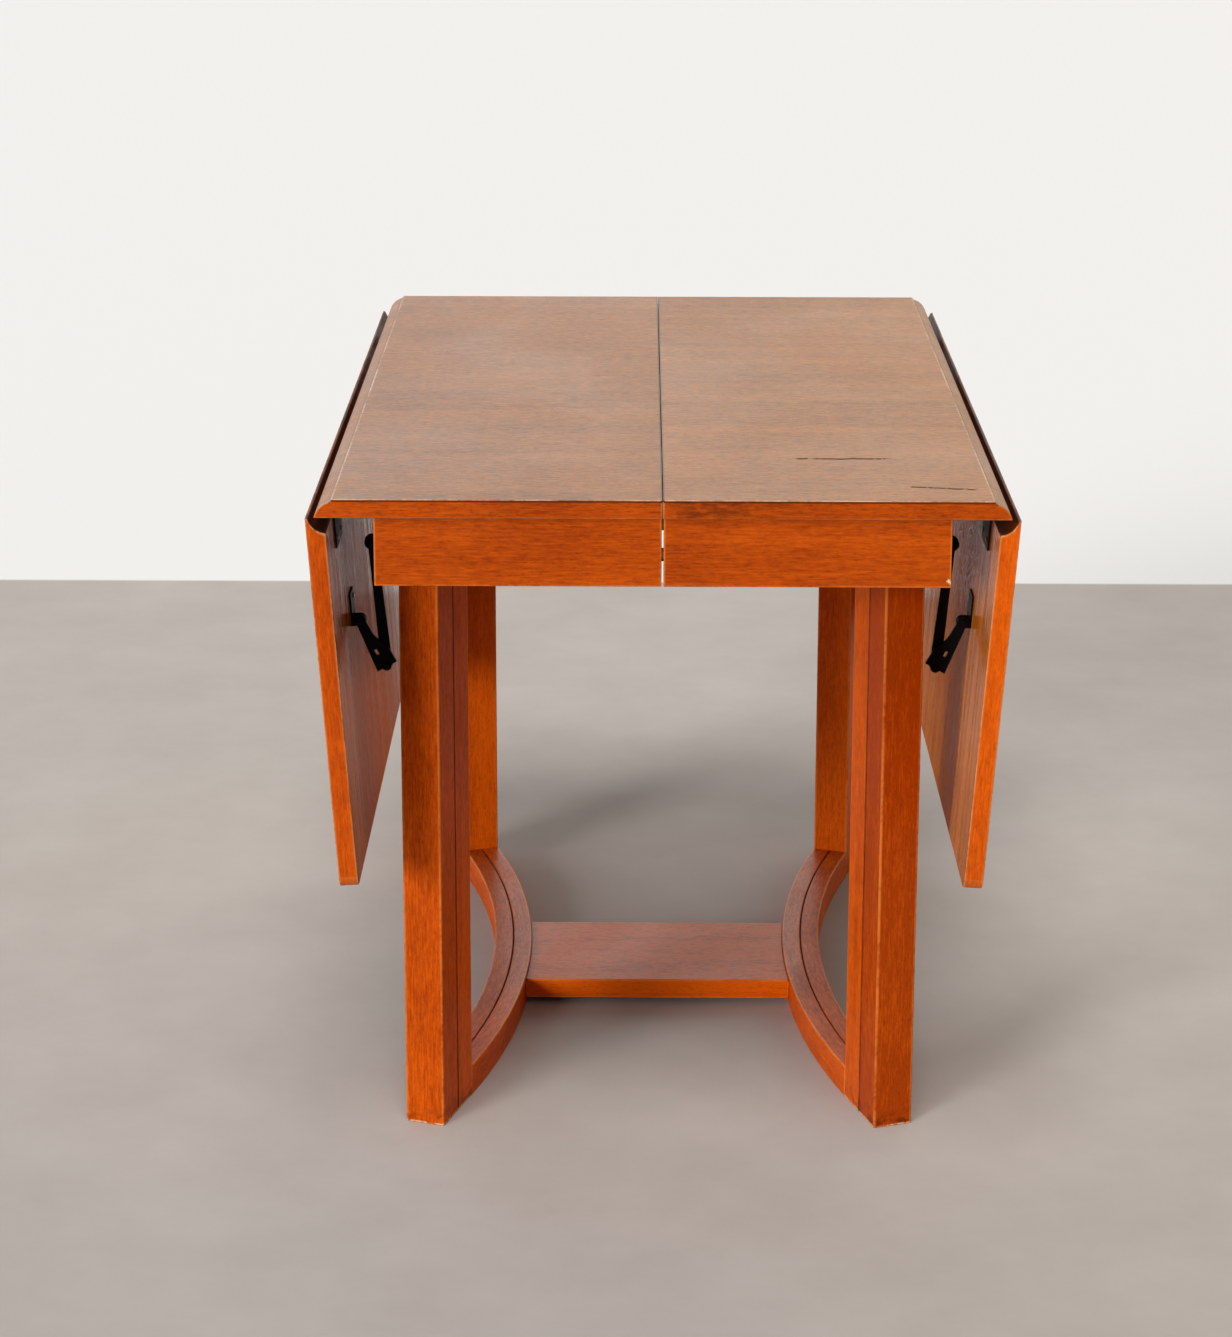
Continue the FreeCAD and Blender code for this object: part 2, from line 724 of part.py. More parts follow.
def build_base():
    """Nodes of the standing base."""
    leg_layers = [leg_board(0.0, leg_depth / 2), leg_board(leg_depth, leg_depth / 2)]
    faces = (stretcher_outer_radius, stretcher_inner_radius)
    stretcher = [stretcher_layer(face, stretcher_radius) for face in faces]
    dowels = all_quarters(quarter_dowels(dowel_radius, dowel_length))
    dowel_holes = all_quarters(quarter_dowels(dowel_radius + screw_fit, dowel_length + 2 * screw_fit))
    screws = [wood_screw(seat, Z_AXIS * -1) for seat in slide_seats()]
    screw_holes = [wood_screw_hole(seat, Z_AXIS * -1, wood_screw_head_height) for seat in slide_seats()]
    right_rail = cut_all(end_rail(), dowel_holes)
    front_cross = cut_all(cross_rail(), dowel_holes)
    drilled_leg = [cut_all(layer, dowel_holes + screw_holes) for layer in leg_layers]
    drilled_stretcher = [cut_all(layer, dowel_holes) for layer in stretcher]
    slides = front_and_rear(fixed_slide())
    nodes = {
        "leg_front_right": drilled_leg,
        "leg_rear_right": [in_mirror(layer, Y_AXIS) for layer in drilled_leg],
        "stretcher_right": drilled_stretcher,
        "end_rail_right": [right_rail],
    }
    for name in list(nodes):
        nodes[name.replace("right", "left")] = [in_mirror(piece, X_AXIS) for piece in nodes[name]]
    nodes["platform_shelf"] = [cut_all(shelf_board(), dowel_holes)]
    nodes["cross_rail_front"], nodes["cross_rail_rear"] = [[rail] for rail in front_and_rear(front_cross)]
    nodes["fixed_slide_front"], nodes["fixed_slide_rear"] = [[slide] for slide in slides]
    nodes["base_dowels"] = dowels
    nodes["slide_screws"] = [piece for item in screws for piece in front_and_rear(item)]
    return nodes


def build_half(lane):
    """Nodes of the right half, its leaf and its stays, with the runners in the given lane."""
    top_seats = hinge_seats(pivot_x - top_plate_reach, 1)
    leaf_seats = hinge_seats(pivot_x + leaf_plate_reach, -1)
    apron_seats = apron_bracket_seats()
    ear_seats = leaf_bracket_seats()

    half_holes = [plate_screw_hole(seat, Z_AXIS) for seat in top_seats]
    for seat in runner_seats(lane):
        half_holes += front_and_rear(wood_screw_hole(seat, Z_AXIS, wood_screw_head_height))
    for seat in apron_seats:
        half_holes += front_and_rear(plate_screw_hole(seat, X_AXIS * -1))
    leaf_holes = [plate_screw_hole(seat, Z_AXIS) for seat in leaf_seats]
    for seat in ear_seats:
        leaf_holes += front_and_rear(plate_screw_hole(seat, Z_AXIS))

    half_screws = [plate_screw(seat, Z_AXIS) for seat in top_seats]
    for seat in runner_seats(lane):
        half_screws += front_and_rear(wood_screw(seat, Z_AXIS))
    for seat in apron_seats:
        half_screws += front_and_rear(plate_screw(seat, X_AXIS * -1))
    leaf_screws = [hanging(plate_screw(seat, Z_AXIS)) for seat in leaf_seats]
    for seat in ear_seats:
        leaf_screws += front_and_rear(hanging(plate_screw(seat, Z_AXIS)))

    top_plates = [hinge_half(y, (pivot_x - top_plate_reach, pivot_x), True) for y in hinge_places]
    leaf_plates = [hinge_half(y, (pivot_x, pivot_x + leaf_plate_reach), False) for y in hinge_places]
    side = hinge_width / 2
    hinge_pins = [y_rod(pivot_x, pivot_z, y - side, y + side, hinge_pin_radius) for y in hinge_places]

    hung_ear = hung_point(ear_x, ear_z)
    arm_pin = stay_pin(arm_pivot_x, arm_pivot_z, link_front, arm_back, 0.0, stay_head_gap)
    ear_pin = stay_pin(*hung_ear, link_front, arm_back, stay_head_gap, 0.0)
    apron_brackets = front_and_rear(cut_all(apron_bracket(), half_holes))
    leaf_brackets = front_and_rear(hanging(cut_all(leaf_bracket(), leaf_holes)))

    return {
        "top_half": [cut_all(top_board(), half_holes)],
        "apron_front": [front_apron()],
        "apron_rear": [in_mirror(front_apron(), Y_AXIS)],
        "apron_side": [cut_all(side_apron(), half_holes)],
        "runner_front": [runner(lane)],
        "runner_rear": [in_mirror(runner(lane), Y_AXIS)],
        "corner_blocks": front_and_rear(corner_block()),
        "hinge_top_plates": [cut_all(plate, half_holes) for plate in top_plates],
        "hinge_pins": hinge_pins,
        "stay_apron_brackets": apron_brackets,
        "stay_apron_pins": front_and_rear(arm_pin),
        "half_screws": half_screws,
        "drop_leaf": [hanging(cut_all(raised_leaf(), leaf_holes))],
        "hinge_leaf_plates": [hanging(cut_all(plate, leaf_holes)) for plate in leaf_plates],
        "stay_leaf_brackets": leaf_brackets,
        "stay_leaf_pins": front_and_rear(ear_pin),
        "leaf_screws": leaf_screws,
        "stay_arms": front_and_rear(stay_arm()),
        "stay_arm_rivets": front_and_rear(knuckle_rivet(arm_front, arm_back, 1)),
        "stay_links": front_and_rear(stay_link()),
        "stay_link_rivets": front_and_rear(knuckle_rivet(link_front, link_back, -1)),
    }


def build_table():
    """Every node of the table: the base, both halves, and the dowels that line the aprons up."""
    nodes = build_base()
    for name, pieces in build_half(1).items():
        nodes["right_" + name] = pieces
    for name, pieces in build_half(-1).items():
        nodes["left_" + name] = [in_mirror(piece, X_AXIS) for piece in pieces]
    snug = front_and_rear(align_rod(align_radius + pin_fit, align_reach))
    loose = front_and_rear(align_rod(align_radius + align_clearance, align_reach + align_clearance))
    for name, holes in (("left", snug), ("right", loose)):
        for end in ("front", "rear"):
            node = name + "_apron_" + end
            nodes[node] = [cut_all(nodes[node][0], holes)]
    nodes["left_align_dowels"] = front_and_rear(align_rod(align_radius, align_reach))
    return nodes


os.makedirs("parts", exist_ok=True)
for node_name, node_pieces in build_table().items():
    node_shape = node_pieces[0] if len(node_pieces) == 1 else Part.makeCompound(node_pieces)
    node_shape.exportStep("parts/" + node_name + ".step")
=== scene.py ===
import bpy
import json
import math
import numpy as np
from mathutils import Matrix, Vector


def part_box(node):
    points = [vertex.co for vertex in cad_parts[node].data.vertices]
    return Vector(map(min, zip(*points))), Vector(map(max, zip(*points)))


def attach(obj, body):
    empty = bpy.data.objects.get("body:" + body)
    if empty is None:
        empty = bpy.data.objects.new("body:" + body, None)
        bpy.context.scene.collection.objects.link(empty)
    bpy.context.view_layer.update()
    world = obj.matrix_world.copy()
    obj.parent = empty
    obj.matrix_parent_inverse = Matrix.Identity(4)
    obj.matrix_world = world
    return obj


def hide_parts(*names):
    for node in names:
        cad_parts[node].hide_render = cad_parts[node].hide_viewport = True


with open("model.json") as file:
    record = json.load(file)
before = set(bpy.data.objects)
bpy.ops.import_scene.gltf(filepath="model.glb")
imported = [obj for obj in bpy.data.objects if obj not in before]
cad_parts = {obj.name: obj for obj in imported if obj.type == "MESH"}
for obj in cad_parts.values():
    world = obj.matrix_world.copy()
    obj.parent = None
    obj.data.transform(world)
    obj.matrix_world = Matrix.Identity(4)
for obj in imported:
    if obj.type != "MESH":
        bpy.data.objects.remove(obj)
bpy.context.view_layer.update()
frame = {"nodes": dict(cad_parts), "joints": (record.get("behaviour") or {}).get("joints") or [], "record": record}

# The looks of a drop-leaf extension table, in metres, in the frame of its solids: +Z up, the halves of
# the top slide apart along X, and the hinges run along Y. Boards are built for the right side (x > 0)
# and mirrored for the left one.

# Height of the 1232 by 1337 photo, in pixels, and the camera that took it
photo_height = 1337.0
focal_pixels = 3274.0
axis_pixel_down = 485.2
camera_place = (-0.0256, -3.7731, 1.6073)
camera_pitch = math.radians(14.572)
camera_yaw = math.radians(0.398)
camera_roll = math.radians(-0.105)
sensor_long_side = 36.0

# Boards of the top and the leaves
top_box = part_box("right_top_half")
half_gap = top_box[0].x
half_length = top_box[1].x
half_depth = top_box[1].y
underside = top_box[0].z
table_height = top_box[1].z
top_thickness = table_height - underside
nose_reach = 0.016
step_height = 0.003
step_run = 0.0022
nose_rise = top_thickness - step_height
nose_x = half_length - nose_reach
face_end = nose_x - step_run
lip_clearance = 0.0006
rule_clearance = 0.00045
leaf_length = 0.407
leaf_corner_radius = 0.012

# Hinge line of the right leaf, and the nose's arc, whose centre lies on the line from its tip to the pin
joints = {joint["name"]: joint for joint in frame["joints"]}
pivot_x, _, pivot_z = joints["right_leaf_hinge"]["pos_m"]
leaf_swing = math.radians(joints["right_leaf_hinge"]["range_deg"][1])
tip_out = half_length - pivot_x
pivot_drop = underside - pivot_z
tip_reach = math.hypot(tip_out, pivot_drop)
nose_chord = math.hypot(nose_reach, nose_rise)
nose_radius = nose_chord ** 2 * tip_reach / (2 * (nose_reach * tip_out - nose_rise * pivot_drop))
nose_centre_x = half_length - nose_radius * tip_out / tip_reach
nose_centre_z = underside - nose_radius * pivot_drop / tip_reach
hinge_places = (-0.4235, 0.0, 0.4235)
hinge_pocket_half = 0.0306
hinge_pocket_in = 0.010
hinge_pocket_depth = 0.0014
pocket_step = 0.0001

# Legs and curved stretchers
leg_width = 0.045
leg_depth = 0.088
leg_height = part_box("leg_front_right")[1].z
seam_depth = 0.002
seam_width = 0.0024
glue_line = 0.00005
stretcher_radius = 1.075
stretcher_end_y = 0.338
stretcher_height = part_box("stretcher_right")[1].z
leg_turn = math.asin(stretcher_end_y / stretcher_radius)
stretcher_inner_radius = stretcher_radius + leg_width / 2
stretcher_outer_radius = stretcher_radius - leg_width / 2
arc_centre_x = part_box("stretcher_right")[0].x + stretcher_inner_radius
stretcher_end_x = arc_centre_x - stretcher_radius * math.cos(leg_turn)

# How far the arrises are rounded, and how far wear runs in from them
top_ease = 0.0009
leaf_ease = 0.0016
apron_ease = 0.0009
leg_ease = 0.0016
stretcher_ease = 0.0011
shelf_ease = 0.0012
seam_ease = 0.0003
butt_ease = 0.0007
pocket_ease = 0.00002
least_radius = 0.0001
wear_reach = 0.0014
groove_reach = 0.004

# Wear of the arrises, in the order of each outline's corners: 1 where they are rubbed, 0 where they
# aren't, and below 0 in a groove, which dirt and painted shade darken
lower_arrises = [1.0, 1.0, 0.0, 0.0]
leaf_wear = [1.0, 0.5, 0.5, 1.0]
leg_wear = np.array([1.0, 1.0, -0.8, -1.0, -1.0, -0.8])
stretcher_wear = np.array([0.6, 0.0, -1.0, -0.3, 1.0])
shelf_wear = [-0.7, -0.7, -0.7, -0.7]
top_step_wear = -0.5
top_joint_wear = -0.8
underside_end_wear = 0.3
nose_end_wear = 0.6

# Mesh steps and shares
corner_steps = 4
nose_steps = 7
cove_steps = 14
stretcher_stations = 61
shelf_stations = 15
inner_arc_share = 0.45
plain_point_share = 0.4
sharp_angle = math.radians(40)
face_cosine = 0.97
figure_shift = np.array([0.83, 0.31, 0.17])

# Noise of the wood, in waves to a metre along, across and through the grain, and its usual range
band_waves = (1.6, 34.0, 34.0)
ribbon_waves = (9.0, 5.0, 5.0)
fibre_waves = (34.0, 520.0, 520.0)
speck_waves = (80.0, 260.0, 260.0)
pore_waves = (150.0, 520.0, 520.0)
uneven_waves = (2.0, 30.0, 30.0)
rub_waves = (14.0, 14.0, 14.0)
nick_waves = (160.0, 160.0, 160.0)
gloss_waves = (4.2, 4.2, 4.2)
smear_waves = (60.0, 22.0, 60.0)
noise_range = (0.3, 0.7)

# Noise of marks, steel and floor, in waves to a metre along X, Y and Z
crack_waves = (55.0, 0.0, 0.0)
crack_break_waves = (85.0, 0.0, 7.0)
chip_waves = (420.0, 420.0, 420.0)
stain_waves = (45.0, 45.0, 150.0)
scuff_waves = (70.0, 70.0, 110.0)
foot_chip_waves = (190.0, 190.0, 190.0)
coat_waves = (70.0, 70.0, 70.0)
coat_speck_waves = (900.0, 900.0, 900.0)
floor_waves = (5.0, 5.0, 5.0)

# Range of the noise over which each effect goes from its least to its most
pore_rise = (0.54, 0.70)
rub_rise = (0.52, 0.68)
groove_dark_rise = (0.3, 0.6)
gloss_rise = (0.4, 0.62)
crack_break_rise = (0.34, 0.46)
stain_rise = (0.36, 0.6)
scuff_rise = (0.47, 0.62)
foot_chip_rise = (0.42, 0.5)

# How much of the colour under it each mark hides
pore_cover = 0.55
rub_cover = 0.6
groove_dark_cover = 0.9
arris_line_cover = 0.8
stain_cover = 0.55
scuff_cover = 0.5
foot_chip_cover = 0.85

# Tone and relief of the wood: a tone of 0 is the light shade and 1 the dark one
middle_tone = 0.45
band_swing = 0.25
ribbon_swing = 0.15
fibre_swing = 0.35
fibre_height = 0.35
grain_depth = 0.0004

# Rubbing, groove dirt with painted shade, and gloss: shares of the broader noise, gain of the wear, and
# least darkening in a groove
rub_run_share = 0.55
rub_gain = 0.4
least_groove_dark = 0.75
blotch_share = 0.75

# Bare wood inside, which is roughest in its pores
bare_mottle = 0.2
bare_pores = 0.35
bare_relief = 0.25
bare_grain_depth = 0.0005
bare_heights = (-1.0, 0.4)
bare_roughness = (0.75, 0.6)

# Worn coat of the steel
coat_patch_share = 0.6
coat_edge = 0.08
coat_polish = 0.15
coat_speck_height = 0.5
coat_relief = 0.2
coat_pit_depth = 0.0003

# Marks of age on the right half of the top and its front apron. Four numbers make a band: it rises over
# the first two and falls over the last two.
top_cracks = [((0.143, -0.357), (0.2475, -0.3555)), ((0.257, -0.4745), (0.329, -0.486))]
crack_half = 0.004
crack_wave = 0.003
crack_wave_range = (0.2, 0.8)
crack_ends = (0.0, 0.04, 0.9, 1.0)
crack_depth = 0.003
crack_relief = 0.6
apron_chip = (0.2953, -0.5305, 0.6628)
chip_radius = 0.0023
chip_ragged = 0.002
chip_rim = 0.0008
edge_stain_reach = (0.004, 0.016, 0.07, 0.15)

# Bands of height: the dark line under the top's front and rear arrises, and the marks at the feet
arris_dark_line_levels = (0.7460, 0.7468, 0.7482, 0.7486)
scuff_levels = (0.0012, 0.003, 0.008, 0.024)
foot_chip_levels = (-0.001, 0.0, 0.0016, 0.0032)


# Boards

def unit(vectors):
    """Each vector divided by its length."""
    return vectors / np.linalg.norm(vectors, axis=-1, keepdims=True)


def left_of(vectors):
    """Each flat vector turned a quarter turn to the left."""
    return np.stack([-vectors[..., 1], vectors[..., 0]], axis=-1)


def rounded_rings(corners, radii, wear, inset):
    """Outlines with rounded corners, one for each station.

    Each corner moves in along its bisector by the station's inset, and an arc of its own radius, less
    the inset, joins the two edges there; an inner corner's arc grows instead, as far as its edges
    allow. A plain point before and after each arc, at the reach of the wear, keeps the faces flat.
    Returns the points and their wear: each corner's own on its arc, none on a face, and groove on a
    narrow face between two groove corners.
    """
    edges = corners - np.roll(corners, 1, axis=1)
    lengths = np.linalg.norm(edges, axis=-1)
    incoming = unit(edges)
    outgoing = np.roll(incoming, -1, axis=1)
    normal_in, normal_out = left_of(incoming), left_of(outgoing)
    bisector = (normal_in + normal_out) / (1 + np.sum(normal_in * normal_out, axis=-1, keepdims=True))
    turn = np.arctan2(np.sum(normal_in * outgoing, axis=-1), np.sum(incoming * outgoing, axis=-1))
    side = np.sign(turn)
    moved = corners + inset[:, None, None] * bisector
    room = inner_arc_share * np.minimum(lengths, np.roll(lengths, -1, axis=1))
    radius = np.maximum(radii - side * inset[:, None], np.minimum(radii, least_radius))
    radius = np.where(side < 0, np.minimum(radius, room), radius)
    centre = moved + (side * radius)[..., None] * bisector
    share = np.linspace(0, 1, corner_steps + 1)
    angle = turn[..., None] * share
    outward = -normal_in[:, :, None, :]
    direction = np.cos(angle)[..., None] * outward + np.sin(angle)[..., None] * left_of(outward)
    arcs = centre[:, :, None, :] + (side * radius)[..., None, None] * direction
    gap = np.linalg.norm(arcs[:, :, 0] - np.roll(arcs[:, :, -1], 1, axis=1), axis=-1)
    back = np.minimum(wear_reach, plain_point_share * gap)
    before = arcs[:, :, 0] - incoming * back[..., None]
    after = arcs[:, :, -1] + outgoing * np.roll(back, -1, axis=1)[..., None]
    points = np.concatenate([before[:, :, None], arcs, after[:, :, None]], axis=2)
    wear = np.asarray(wear, float)
    mask = np.broadcast_to(wear[:, None], points.shape[:3]).copy()
    groove_face = np.where(gap < groove_reach, np.minimum(np.maximum(wear, np.roll(wear, 1)), 0), 0)
    mask[:, :, 0] = groove_face
    mask[:, :, -1] = np.roll(groove_face, -1, axis=1)
    stations = len(corners)
    return points.reshape(stations, -1, 2), mask.reshape(stations, -1)


def eased_stations(start, end, ease, between=()):
    """Stations along a board: a quarter circle of the given radius at each end, and others between.

    On the quarter circle the outline moves in by ease * (1 - sin) at ease * (1 - cos) from the end.
    Returns places along the board, insets there, and a mask that is 1 on the quarter circles.
    """
    angle = np.linspace(0, math.pi / 2, corner_steps + 1)
    near = np.concatenate([[0], ease * (1 - np.cos(angle)), [ease + wear_reach]])
    inset = np.concatenate([[ease + wear_reach], ease * (1 - np.sin(angle)), [0]])
    mask = np.concatenate([[0], np.ones(corner_steps + 1), [0]])
    middle = np.asarray(between, float)
    place = np.concatenate([start + near, middle, end - near[::-1]])
    flat = np.zeros(len(middle))
    return place, np.concatenate([inset, flat, inset[::-1]]), np.concatenate([mask, flat, mask[::-1]])


def swept_board(corners, radii, stations, wear, end_wear=1.0):
    """A board as rings of points (u, v, s): a rounded outline in u and v carried along s.

    The corners, counter-clockwise in u and v, may change from station to station. Wear is 1 on an arris
    that is rubbed, 0 on one that isn't, and below 0 in a groove; the flat ends have none. The end wear
    is that of the arrises round the two ends, near each corner. Returns the rings and the wear there.
    """
    place, inset, end_mask = stations
    corners = np.broadcast_to(np.asarray(corners, float), (len(place),) + np.shape(corners)[-2:])
    radii = np.broadcast_to(np.asarray(radii, float), corners.shape[:2])
    points, ring_mask = rounded_rings(corners, radii, wear, inset)
    along = np.broadcast_to(place[:, None, None], points.shape[:2] + (1,))
    corner_count = corners.shape[1]
    end_ring = np.repeat(np.broadcast_to(end_wear, corner_count), points.shape[1] // corner_count)
    mask = np.where(ring_mask < 0, ring_mask, np.maximum(ring_mask, end_mask[:, None] * end_ring))
    mask[[0, -1]] = 0
    return np.concatenate([points, along], axis=-1), mask


def box_corners(u_low, u_high, v_low, v_high):
    """The four corners of a rectangle, counter-clockwise; its sides may be arrays of stations."""
    sides = np.broadcast_arrays(u_low, u_high, v_low, v_high)
    low_u, high_u, low_v, high_v = [np.asarray(side, float) for side in sides]
    pairs = [(low_u, low_v), (high_u, low_v), (high_u, high_v), (low_u, high_v)]
    return np.stack([np.stack(pair, axis=-1) for pair in pairs], axis=-2)


def skin(rings, first):
    """Faces of a closed skin: quads between neighbouring rings, and a fan to a middle point at each end.

    The points are numbered from first, ring by ring, and then the two middle points.
    """
    count, around = rings.shape[:2]
    index = first + np.arange(count * around).reshape(count, around)
    ahead = np.roll(index, -1, axis=1)
    quads = np.stack([index[:-1], ahead[:-1], ahead[1:], index[1:]], axis=-1).reshape(-1, 4)
    start_middle = first + count * around
    start_fan = np.stack([ahead[0], index[0], np.full(around, start_middle)], axis=-1)
    end_fan = np.stack([index[-1], ahead[-1], np.full(around, start_middle + 1)], axis=-1)
    return quads, np.concatenate([start_fan, end_fan])


def inside_out(points, triangles):
    """True where the signed volume of a closed skin, the sum of its corner tetrahedra, is negative."""
    a, b, c = (points[triangles[:, i]] for i in range(3))
    return np.sum(np.cross(a, b) * c) < 0


def add_piece(name, boards, body, node, finish, mirrored=False, face_finishes=(), tones=(0.0,)):
    """A mesh piece of one or more boards, riding on a body in place of a CAD node.

    Each board is (rings in place, grain coordinates of its points, wear mask), with a tone of its own,
    darker above 0. Grain coordinates run along, across and through the wood, and are kept with the wear
    mask and the tone as attributes of the points. Each of the face finishes is (a finish, directions):
    the faces that point in one of the directions take it in place of the piece's own finish.
    """
    points, grain, wear, tone, faces = [], [], [], [], []
    total = 0
    for (rings, fibres, mask), own_tone in zip(boards, tones):
        place = rings * np.array([-1.0 if mirrored else 1.0, 1, 1])
        quads, fans = skin(rings, total)
        flat = place.reshape(-1, 3)
        ends = np.stack([place[0].mean(axis=0), place[-1].mean(axis=0)])
        end_fibres = np.stack([fibres[0].mean(axis=0), fibres[-1].mean(axis=0)])
        board_points = np.concatenate([flat, ends])
        triangles = np.concatenate([quads[:, :3], quads[:, [0, 2, 3]], fans]) - total
        if inside_out(board_points, triangles):
            quads, fans = quads[:, ::-1], fans[:, ::-1]
        points.append(board_points)
        grain.append(np.concatenate([fibres.reshape(-1, 3), end_fibres]))
        wear.append(np.concatenate([mask.reshape(-1), [0.0, 0.0]]))
        tone.append(np.full(len(board_points), own_tone))
        faces += quads.tolist() + fans.tolist()
        total += len(board_points)
    mesh = bpy.data.meshes.new(name)
    mesh.from_pydata(np.concatenate(points).tolist(), [], faces)
    mesh.attributes.new("grain", "FLOAT_VECTOR", "POINT").data.foreach_set(
        "vector", np.concatenate(grain).astype(np.float32).ravel())
    for label, values in (("edge", wear), ("tone", tone)):
        mesh.attributes.new(label, "FLOAT", "POINT").data.foreach_set(
            "value", np.concatenate(values).astype(np.float32))
    mesh.polygons.foreach_set("use_smooth", np.ones(len(mesh.polygons), bool))
    mesh.set_sharp_from_angle(angle=sharp_angle)
    mesh.materials.append(finish)
    normals = np.empty(3 * len(mesh.polygons), np.float32)
    mesh.polygons.foreach_get("normal", normals)
    chosen = np.zeros(len(mesh.polygons), np.int32)
    for number, (face_finish, directions) in enumerate(face_finishes, 1):
        mesh.materials.append(face_finish)
        toward = normals.reshape(-1, 3) @ np.array(directions, np.float32).T
        chosen[toward.max(axis=1) > face_cosine] = number
    mesh.polygons.foreach_set("material_index", chosen)
    piece = bpy.data.objects.new(name, mesh)
    bpy.context.scene.collection.objects.link(piece)
    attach(piece, body)
    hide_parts(node)


def in_order(rings, order):
    """Points (u, v, s) put into the given order of axes: order names where x, y and z come from."""
    return rings[..., list(order)]


def own_figure(fibres, number):
    """Grain coordinates moved along and across, so that each board has a figure of its own."""
    return fibres + figure_shift * number


def box_board(low, high, ease, order, wear, figure):
    """A straight board with every arris eased. Order gives the axes of its outline and its length."""
    u, v, s = order
    corners = box_corners(low[u], high[u], low[v], high[v])
    rings, mask = swept_board(corners, np.full(4, ease), eased_stations(low[s], high[s], ease), wear)
    place = np.empty_like(rings)
    place[..., [u, v, s]] = rings
    fibres = np.stack([place[..., s], place[..., u], place[..., v]], axis=-1)
    return place, own_figure(fibres, figure), mask


def top_board(figure):
    """The right half of the top: its section in X and Z, with the nose, carried along Y.

    The nose is an arc round its centre, from the tip up to the step. The pockets over the hinges are
    the same section with the underside of the nose raised, so that the arc starts higher there.
    """
    pocket_reaches = (hinge_pocket_half, hinge_pocket_half - pocket_step)
    edges = sorted(place + side * reach
                   for place in hinge_places for side in (-1, 1) for reach in pocket_reaches)
    stations = eased_stations(-half_depth, half_depth, top_ease, between=edges)
    along = stations[0]
    nearest = np.min(np.abs(along[:, None] - np.array(hinge_places)), axis=1)
    raised = np.where(nearest < hinge_pocket_half - pocket_step / 2, hinge_pocket_depth, pocket_step)
    pocket_x = pivot_x - hinge_pocket_in
    low = np.full_like(along, underside)
    tip_angle = np.arcsin((underside + raised - nose_centre_z) / nose_radius)
    step_angle = math.asin((underside + nose_rise - nose_centre_z) / nose_radius)
    shares = np.linspace(0, 1, nose_steps + 1)
    angles = [tip_angle + (step_angle - tip_angle) * share for share in shares]
    arc = [(nose_centre_x + nose_radius * np.cos(angle), nose_centre_z + nose_radius * np.sin(angle))
           for angle in angles]
    pairs = [
        (half_gap, low),
        (pocket_x, low),
        (pocket_x, underside + raised),
        *arc,
        (face_end, low + top_thickness),
        (half_gap, low + top_thickness),
    ]
    corners = np.stack([np.stack(np.broadcast_arrays(x, z), axis=-1) for x, z in pairs], axis=1)
    radii = [top_ease, pocket_ease, pocket_ease] + [seam_ease] * len(arc) + [top_ease, top_ease]
    wear = [0.0, 0.0, 0.0, 1.0] + [0.0] * (len(arc) - 2) + [top_step_wear, 1.0, top_joint_wear]
    end_wear = [underside_end_wear] * 3 + [nose_end_wear] * len(arc) + [1.0, 1.0]
    rings, mask = swept_board(corners, radii, stations, wear, end_wear)
    place = in_order(rings, (0, 2, 1))
    return place, own_figure(place, figure), mask


def leaf_board(figure):
    """The right leaf as it hangs: its plan outline carried through its thickness, then swung down.

    The edge towards the top follows the cove, a circle round the nose's centre, and then the sloped
    lip.
    """
    lip = face_end + lip_clearance
    slope = step_run / step_height
    cove_radius = nose_radius + rule_clearance
    free_end = lip + leaf_length
    first = math.asin((underside + leaf_ease + wear_reach - nose_centre_z) / cove_radius)
    last = math.asin((underside + nose_rise - nose_centre_z) / nose_radius)
    cove_z = nose_centre_z + cove_radius * np.sin(np.linspace(first, last, cove_steps)[1:])
    stations = eased_stations(underside, table_height, leaf_ease / 2, between=cove_z)
    height = stations[0]
    reach = np.sqrt(np.maximum(cove_radius ** 2 - (height - nose_centre_z) ** 2, 0))
    edge_x = np.maximum(lip + (table_height - height) * slope, nose_centre_x + reach)
    corners = box_corners(edge_x, free_end, -half_depth, half_depth)
    radii = [leaf_ease, leaf_corner_radius, leaf_corner_radius, leaf_ease]
    rings, mask = swept_board(corners, radii, stations, leaf_wear)
    fibres = own_figure(rings, figure)
    out, up = rings[..., 0] - pivot_x, rings[..., 2] - pivot_z
    swung_x = pivot_x + out * math.cos(leaf_swing) + up * math.sin(leaf_swing)
    swung_z = pivot_z - out * math.sin(leaf_swing) + up * math.cos(leaf_swing)
    return np.stack([swung_x, rings[..., 1], swung_z], axis=-1), fibres, mask


def leg_board(outer, seam, rear, figure):
    """One board of the right leg: its turned section carried up, chamfered along the seam."""
    side = leg_width / 2
    toward = 1 if seam > outer else -1
    lip = seam - toward * seam_width / 2
    glued = seam - toward * glue_line
    corners = np.array([(-side, outer), (side, outer), (side, lip), (side - seam_depth, glued),
                        (-side + seam_depth, glued), (-side, lip)])
    radii = np.array([leg_ease, leg_ease, seam_ease, seam_ease, seam_ease, seam_ease])
    wear = leg_wear
    if toward < 0:
        corners, radii, wear = corners[::-1], radii[::-1], wear[::-1]
    rings, mask = swept_board(corners, radii, eased_stations(0.0, leg_height, leg_ease), wear)
    across, along = rings[..., 0], rings[..., 1]
    x = stretcher_end_x + across * math.cos(leg_turn) + along * math.sin(leg_turn)
    y = -stretcher_end_y + across * math.sin(leg_turn) - along * math.cos(leg_turn)
    place = np.stack([x, -y if rear else y, rings[..., 2]], axis=-1)
    return place, own_figure(in_order(rings, (2, 0, 1)), figure), mask


